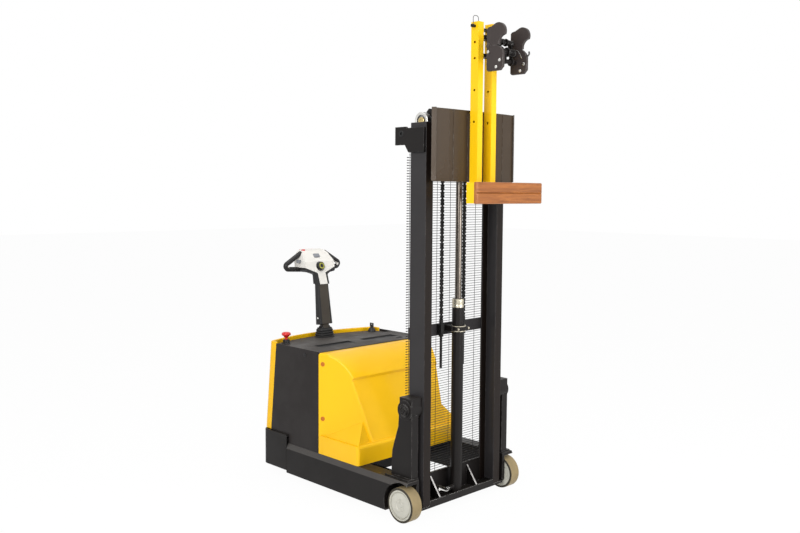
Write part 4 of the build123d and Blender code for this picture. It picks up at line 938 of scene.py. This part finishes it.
# %% Turn the wheels
outwards = Vector((-1, 0, 0))
wheel_mid = middle("load_tyre_right")
hub_outline = [(-34, 0), (-34, 76.8), (34, 76.8), (34.8, 74), (34.8, 71), (26, 68), (26, 65),
               (31, 62), (33.5, 54), (33.5, 32), (30, 28), (30, 15), (33.5, 12), (33.5, 0)]
band_outline = [(-35, 77), (-35, 85), (-32.5, 88.2), (-29, 89), (29, 89), (32.5, 88.2),
                (35, 85), (35, 77)]
hubs = [turned("load_hub_right_turned", wheel_mid, outwards, hub_outline, steps=64)]
bands = [turned("load_tyre_right_turned", wheel_mid, outwards, band_outline, steps=64, ring=True)]
hubs.append(mirrored(hubs[0], "load_hub_left_turned"))
bands.append(mirrored(bands[0], "load_tyre_left_turned"))
for side, hub, band in zip(("right", "left"), hubs, bands):
    dress(hub, "hub_cream", "load_wheel_" + side, "load_hub_" + side)
    dress(band, "urethane", "load_wheel_" + side, "load_tyre_" + side)
    # the band's sides, which face across, get a darker finish than its tread
    second_finish(band, "dark_band_side", lambda spot, normal: abs(normal.x) > 0.6)
print("wheels:", [len(piece.data.polygons) for piece in hubs + bands])

# %% [markdown]
# ## Tower pivots
# The mast hangs between two towers on thick bolts. What shows is the end of each bolt: a washer,
# a collar and a domed head, one behind the other. Steps like these are turned in one go. The line
# of the outline doubles back a little between them, and that leaves the dark grooves.

# %% Turn the pivot ends
pivot = at(-384, 58, 563)
cap_outline = [(-3, 0), (-3, 33.8), (4, 33.8), (6, 32), (6, 28.5), (2.5, 27.5), (2.5, 24.5),
               (10, 23.5), (12.5, 21), (12.5, 14.5), (9, 13.5), (9, 11.5), (16, 10.5), (18.5, 8),
               (18.5, 0)]
caps = pair("tower_caps", turned("tower_cap", pivot, outwards, cap_outline, steps=40))
dress(caps, "black_paint", "chassis", "tower_bolts")
print("tower caps reach", [round(v, 3) for v in caps.bound_box[0]])

# %% [markdown]
# ## Tiller boot
# The boot is a moulded rubber bellows: rounded rectangles, wide and narrow by turns, one above
# the other. A plane is set to the size of the foot and its corners are rounded with a vertex
# bevel. The rim is then extruded upwards and scaled for every fold, and a solidify modifier gives
# the rubber its thickness.

# %% Fold the bellows
def foot_of(node):
    """The middle of a node's underside."""
    return Vector((*middle(node).xy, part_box(node)[0].z))


boot_foot = foot_of("tiller_boot")
folds = [(0, 116, 76), (4, 116, 76), (8, 104, 66), (12, 112, 72), (18, 111, 71), (22, 99, 62),
         (26, 106, 68), (32, 105, 67), (36, 95, 58), (40, 101, 63), (46, 100, 62),
         (50, 92, 52), (57.5, 91, 50)]
nothing_selected()
bpy.ops.mesh.primitive_plane_add(size=1, location=boot_foot)
boot = bpy.context.object
boot.name = "bellows"
boot.scale = (folds[0][1] / 1000, folds[0][2] / 1000, 1)
bpy.ops.object.transform_apply()
edit(boot)
bpy.ops.mesh.bevel(offset=0.02, segments=5, affect="VERTICES")
bpy.ops.mesh.select_all(action="SELECT")
bpy.ops.mesh.delete(type="ONLY_FACE")
bpy.ops.mesh.select_mode(type="EDGE")
bpy.ops.mesh.select_all(action="SELECT")
for below, above in zip(folds, folds[1:]):
    rise = (0, 0, (above[0] - below[0]) / 1000)
    growth = (above[1] / below[1], above[2] / below[2], 1)
    bpy.ops.mesh.extrude_edges_move(TRANSFORM_OT_translate={"value": rise})
    bpy.ops.transform.resize(value=growth, center_override=boot_foot)
bpy.ops.object.mode_set(mode="OBJECT")
closed_up(boot)
apply_modifier(boot, "SOLIDIFY", thickness=0.002, offset=-1.0, use_rim=True)
eased(boot, 0.9, 2, 30)
dress(closed_up(boot), "rubber", None, "tiller_boot")
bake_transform(boot)
print("bellows faces:", len(boot.data.polygons))

# %% [markdown]
# ## Tiller head and column
# The head is a pair of moulded shells, a white one above and a black one below. The white one is
# the solid with broad soft edges. The black one is cut from a copy of it with bisect, first along
# the neck and then along the underside of the wing, and grown by less than a millimetre so that
# it covers the white. The column gets its dark side strips in the same way.

# %% Shells cut from a copy
def whole(piece, operator, **values):
    """Run one edit mode operator on the whole piece."""
    edit(piece)
    operator(**values)
    bpy.ops.object.mode_set(mode="OBJECT")
    return piece


def shell(piece, name, *cuts):
    """A pair of grown copies, each cut back to the side that every cut's direction points to."""
    part = copied(piece, name)
    for place, keep_side in cuts:
        whole(part, bpy.ops.mesh.bisect, plane_co=place, plane_no=keep_side, use_fill=True,
              clear_inner=True)
    return pair(name, closed_up(whole(part, bpy.ops.transform.shrink_fatten, value=0.0008)))


def from_neck(across, back, up):
    """A place measured from the neck of the tiller."""
    return at(across, 1179.1 + back, 1101.3 + up)


head = solid_copy("tiller_head", "tiller_head_moulded")
eased(head, 7, 3)
column = solid_copy("tiller_column", "tiller_column_moulded")
whole(column, bpy.ops.transform.resize, value=(1.15, 1, 1), center_override=(0, 0, 0))
eased(column, 5, 3)
under = shell(head, "head_underside", (from_neck(-31, 0, 0), outwards),
              (from_neck(-44, 0, 60), (-0.371, 0, -0.928)))
strips = shell(column, "column_strip", (from_neck(-33, 0, 0), outwards))
shells = joined("tiller_shells", [under, strips])
dress(shells, "black_plastic", "tiller")
dress(head, "head_white", "tiller", "tiller_head")
dress(column, "column_brown", "tiller", "tiller_column")
print("head, column and shells:", [len(piece.data.polygons) for piece in (head, column, shells)])

# %% [markdown]
# ## Horn, buttons and bolt of the tiller
# The horn sits in a dark bezel, with an olive lens let into its face. A small red button, a grey
# thumb window and the bolt through the column's foot complete the tiller. All are round, so each
# is turned from its outline, facing the way that its surface leans.

# %% Horn ring and lens, column bolt, quick button
def turned_fitting(name, look, body, place, axis, outline, slot=None, twin=False, **how):
    """Turn and dress a fitting, with its mirror image if it has a twin."""
    piece = turned(name, place, axis, outline, **how)
    return dress(pair(name, piece) if twin else piece, look, body, slot=slot)


horn_back, horn_rise = 0.9459, 0.3245
horn_out = Vector((0, -horn_back, horn_rise))
horn_low, horn_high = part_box("horn_button")
horn_r = (horn_high.x - horn_low.x) / 2
horn_face = Vector((0, horn_low.y + horn_r * horn_rise, horn_high.z - horn_r * horn_back))
turned_fitting("horn_bezel", "black_plastic", "tiller", horn_face - horn_out * 0.017, horn_out,
               [(-3, 27.8), (-3, 31.5), (2, 31.5), (4, 30), (4, 27.8)], ring=True)
turned_fitting("horn_lens", "lens_olive", "horn", horn_face + horn_out * 0.002, horn_out,
               [(-3, 11), (-3, 20), (1.2, 19.5), (2, 17.5), (1.6, 13), (0.4, 11)], "black_plastic",
               ring=True)
turned_fitting("quick_button", "red", "tiller", from_neck(-72, 88, 189), upwards,
               [(-4, 0), (-4, 12), (5, 12), (7.5, 10.5), (8.5, 7), (8.5, 0)], steps=24)
turned_fitting("column_bolt", "bright_zinc", "tiller", at(-49, 1152, 880), outwards,
               [(-2, 0), (-2, 6.5), (2, 6.5), (3.5, 5), (3.5, 0)], "zinc", steps=16)
turned_fitting("thumb_window", "window_grey", "tiller", from_neck(-98, 50, 136),
               (-0.5, -0.75, 0.43), [(-8, 0), (-8, 17), (2, 17), (4.5, 15), (5.5, 10), (5.5, 0)],
               "black_plastic", steps=28)
print("horn face at", [round(v, 4) for v in horn_face])

# %% [markdown]
# ## Emergency stop and key
# A mushroom button is a domed cap on a neck that widens like a trumpet, above a dark collar. It
# is turned in one piece, with the stem long enough to stay in its guide when the button is
# pressed. The key stands in a dark cone of its own.

# %% Turn the button and its collars
stop_foot, key_foot = foot_of("estop_button"), foot_of("key")
key_foot.z = 0.7625
stop_outline = [(0, 0), (0, 9), (57, 9), (60, 13), (65, 15), (69, 20), (71, 25), (74, 26.8),
                (80, 26.8), (85, 25), (88.5, 19), (90, 9), (90, 0)]
stop_button = turned("stop_button_turned", stop_foot, upwards, stop_outline, steps=40)
dress(stop_button, "red", "estop", "estop_button")
turned_fitting("stop_collar", "black_plastic", "chassis", stop_foot + upwards * 0.020, upwards,
               [(0, 17.2), (0, 24), (4, 24), (7, 21), (24, 19.5), (26.5, 18.5), (26.5, 17.2)],
               ring=True)
turned_fitting("key_ring", "black_plastic", "chassis", key_foot, upwards,
               [(0, 16), (0, 24), (8, 23), (20, 19), (23.5, 16), (23.5, 13)], ring=True)

# %% [markdown]
# ## Screws in the cover and the panel lock
# The front cover is held by two large capped screws on each side, and each side panel has one
# round lock. They are turned with a shallow dish in the middle, made once on the right and
# mirrored. The cover's sides draw in towards the front, so its caps lean with them.

# %% Caps and locks
cover_taper, cap_drop = 0.42, 0.304
dish = [(-1.5, 0), (-1.5, 12.5), (1.6, 12.5), (2.8, 11), (2.8, 7.5), (1.4, 6.5), (1.4, 0)]
cap = turned("cover_cap", at(-403, 676.2, 711), (-1, -cover_taper, 0), dish, steps=28)
near_caps = joined("cover_caps_near", [cap, copied(cap, "cover_cap_low", -upwards * cap_drop)])
dress(pair("cover_caps", near_caps), "cap_orange", "chassis", slot="yellow_cover")
turned_fitting("panel_locks", "black_plastic", "chassis", at(-413, 821, 744), outwards,
               [(-1.5, 0), (-1.5, 11), (1.5, 11), (2.6, 9.5), (2.6, 4), (1, 3.4), (1, 0)],
               twin=True, steps=24)
print("cover caps and locks done")

# %% [markdown]
# ## Rollers, gland and clamp
# Above the mast the upper guide rollers show their faces: a bright ground ring, a dark groove and
# a brass hub. Lower down, a bright gland closes the cylinder, and a plated band with two bolts
# holds it to the middle tie. All are turned, apart from the six-sided bolt heads.

# %% Faces, gland, band and bolts
roller_face = middle("upper_rollers")
roller_face.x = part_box("upper_rollers")[0].x
turned_fitting("roller_rings", "bright_zinc", "rollers_upper", roller_face, outwards,
               [(-2, 30), (-2, 43.5), (1, 43.5), (1.8, 42.5), (1.8, 34), (0.6, 32), (0.6, 30)],
               "steel", twin=True, steps=40, ring=True)
turned_fitting("roller_hubs", "brass", "rollers_upper", roller_face, outwards,
               [(-2, 0), (-2, 19), (1.2, 19), (2.4, 17.5), (2.4, 9), (1, 8), (1, 0)],
               "steel", twin=True)

ram_y, gland_z = middle("ram_rod").y, 1.053
turned_fitting("gland_ring", "zinc", "chassis", Vector((0, ram_y, gland_z)), upwards,
               [(0, 24), (0, 31.4), (12, 31.4), (14, 30), (17, 30), (19, 31.4), (43, 31.4),
                (45.5, 29), (45.5, 24)], steps=40, ring=True)
clamp_z, clamp_foot = middle("cylinder_clamp").z * 1000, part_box("cylinder_clamp")[0].z
band = turned("clamp_band", Vector((0, ram_y, clamp_foot - 0.001)), upwards,
              [(0, 31.2), (0, 41), (1.5, 43.5), (5, 43.5), (6.5, 41), (6.5, 31.2)], steps=40,
              ring=True)
band_pair = joined("clamp_bands", [band, copied(band, "clamp_band_upper", upwards * 0.0255)])
dress(band_pair, "zinc", "chassis")
bolt = rod("clamp_bolt", at(-40, 6, clamp_z), at(-40, 14, clamp_z), 7, sides=6, ease=1)
dress(pair("clamp_bolts", bolt), "zinc", "chassis", angle=20)
print("gland and clamp at", gland_z, round(clamp_z / 1000, 3))

# %% [markdown]
# ## Folded edges of the carriage plate and a plug in the lid
# The sides of the carriage plate are folded back to stiffen it. The fold is a narrow strip, drawn
# in plan and extruded to the height of the plate, and mirrored. In the lid sits an oval rubber
# plug, a turned disc drawn out to one and a half times its width.

# %% Folds and plug
plate_low, plate_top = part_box("carriage_plate")
fold_plan = ((-303, -66.5), (-318, -48), (-316, -45.5), (-300, -62))
fold_foot = [at(across, back, plate_low.z * 1000 + 3) for across, back in fold_plan]
fold = cut_plate("plate_fold", fold_foot, upwards * (plate_top.z - plate_low.z - 0.001), 0.8)
dress(pair("plate_folds", fold), "plate_brown", "carriage", slot=slot_of["carriage_plate"])
plug_at, plug_stretch = at(268, 760, 776), 1.5
plug_outline = [(-2, 0), (-2, 17), (1.5, 17), (3, 15), (3, 10), (1, 8), (1, 0)]
plug = turned("lid_plug", plug_at, upwards, plug_outline)
whole(plug, bpy.ops.transform.resize, value=(plug_stretch, 1, 1), center_override=plug_at)
dress(plug, "rubber", "chassis", slot="deck_plastic")
print("folds and plug done")

# %% [markdown]
# ## Lug eyes and foot fittings
# The eye of each lifting lug is lined with a short dark bush. At the foot of the cylinder a
# plated union and a bent pipe take the oil away. The bush and the union are turned, the pipe is a
# bent tube.

# %% Bushes, union and pipe
bush_outline = [(0, 8), (0, 15.5), (2, 16.5), (2, 12.8), (14, 12.8), (14, 8)]
bush = turned("lug_bush", at(-319, 162, 1947), -outwards, bush_outline, steps=28, ring=True)
web_outline = [(0, 0), (0, 8.4), (3, 8.4), (3, 0)]
web = turned("lug_web", at(-312, 162, 1947), -outwards, web_outline, steps=28)
bushes = pair("lug_bushes", joined("lug_bush_near", [bush, web]))
dress(bushes, "rubber", "chassis", slot="black_paint")
union = rod("port_union", at(-56, 50, 92), at(-80, 50, 92), 11, sides=6, ease=1.2)
bends = [at(-70, 40, 92), at(-92, 30, 90), at(-112, 27, 94), at(-130, 27, 104), at(-146, 30, 112)]
elbow = tube("port_elbow", bends, 5.5, fineness=3)
nut = rod("port_nut", at(-143, 29, 110), at(-156, 33, 117), 9, sides=6, ease=1)
fittings = joined("foot_fittings", [union, elbow, nut])
dress(fittings, "bright_zinc", "chassis", slot="zinc", angle=25)
print("foot fittings faces:", len(fittings.data.polygons))

# %% [markdown]
# ## Gripper gear
# Between the two gripper heads lie the parts that close the beaks: coil springs round the cross
# bar, and rings that carry the pull from one head to the other. A coil is a long line that winds
# round the bar, turned into a curve with a round section. On the far head hang a small hook and a
# wire.

# %% Coils, rings and links
def from_head(across, forward, up):
    """A place measured from the foot of the gripper heads."""
    return at(across, -206 - forward, 2243 + up)


def wound(name, start, radius, length, turns, wire):
    """A coil spring along X, with twelve corners to a turn."""
    path = []
    for step in range(turns * 12 + 1):
        swing = 2 * pi * step / 12
        path.append(start + sideways(length * step / (turns * 12))
                    + Vector((0, cos(swing), sin(swing))) * (radius / 1000))
    return tube(name, path, wire, fineness=1)


shaft_line, bar_line, low_line = from_head(0, 16, 152), from_head(0, 24, 104), from_head(0, 30, 58)
lug_side = ((-4, 134), (30, 140), (30, 164), (-4, 176))
lug_corners = [from_head(-9, forward, up) for forward, up in lug_side]
gear = [rod("pull_shaft", shaft_line + sideways(-80), shaft_line + sideways(80), 8, ease=1.5),
        cut_plate("shaft_lug", lug_corners, sideways(18), 3)]
for line, start, radius, length, turns in ((shaft_line, -76, 12.5, 44, 8),
                                           (bar_line, -78, 17.5, 46, 7)):
    coil = wound("coil_near", line + sideways(start), radius, length, turns, 2.6)
    gear.append(pair("coil", coil))
for name, line, across, r in (("eye_a", shaft_line, -26, 19), ("eye_b", bar_line, -24, 24),
                              ("eye_c", low_line, -50, 20)):
    eye_outline = [(-4, 7), (-4, r - 2), (-2, r), (2, r), (4, r - 2), (4, 7)]
    eye = turned(name, line + sideways(across), outwards, eye_outline, steps=24, ring=True)
    gear.append(pair(name, eye))
for name, across, top, foot, wide in (("link_a", -60, shaft_line, low_line, 11),
                                      ("link_b", -4, bar_line, low_line, 14)):
    corners = ((-wide, 0), (-wide / 2, wide), (wide / 2, wide), (wide, 0))
    arch = [Vector((0, y / 1000, z / 1000)) for y, z in corners]
    outline = [top + bend for bend in arch] + [foot - bend for bend in arch]
    link = cut_plate(name, [corner + sideways(across) for corner in outline], sideways(7), 1.5)
    gear.append(pair(name, link))
gear.append(tube("far_hook", [from_head(92, forward, up) for forward, up in
                              ((86, 84), (104, 86), (112, 94), (110, 106))], 4.5))
gear = dress(joined("gripper_gear", gear), "black_paint", "carriage")
wire_path = [from_head(83, 40, 120), from_head(82, 52, 112), from_head(82, 74, 76)]
far_wire = tube("far_wire", wire_path, 1.6)
dress(far_wire, "bright_zinc", "carriage", slot="zinc")
print("gripper gear faces:", len(gear.data.polygons))

# %% [markdown]
# ## Head screws
# The heads are bolted up with plated screws, which show as bright dots on the outer face of the
# near head and the inner face of the far one. One is turned for each place, and copied across.

# %% Turn the screws
screw_outline = [(-3, 0), (-3, 7.5), (3, 7.5), (4.5, 6), (4.5, 3), (3, 2.4), (3, 0)]
screws = []
for forward, up in ((84, 47), (63, 16), (12, 92)):
    near = turned("head_screw", from_head(-102.5, forward, up), outwards, screw_outline, steps=16)
    screws += [near, copied(near, "far_head_screw", sideways(187.5))]
dress(joined("head_screws", screws), "bright_zinc", "carriage", slot="zinc")
print("head screws:", len(screws))
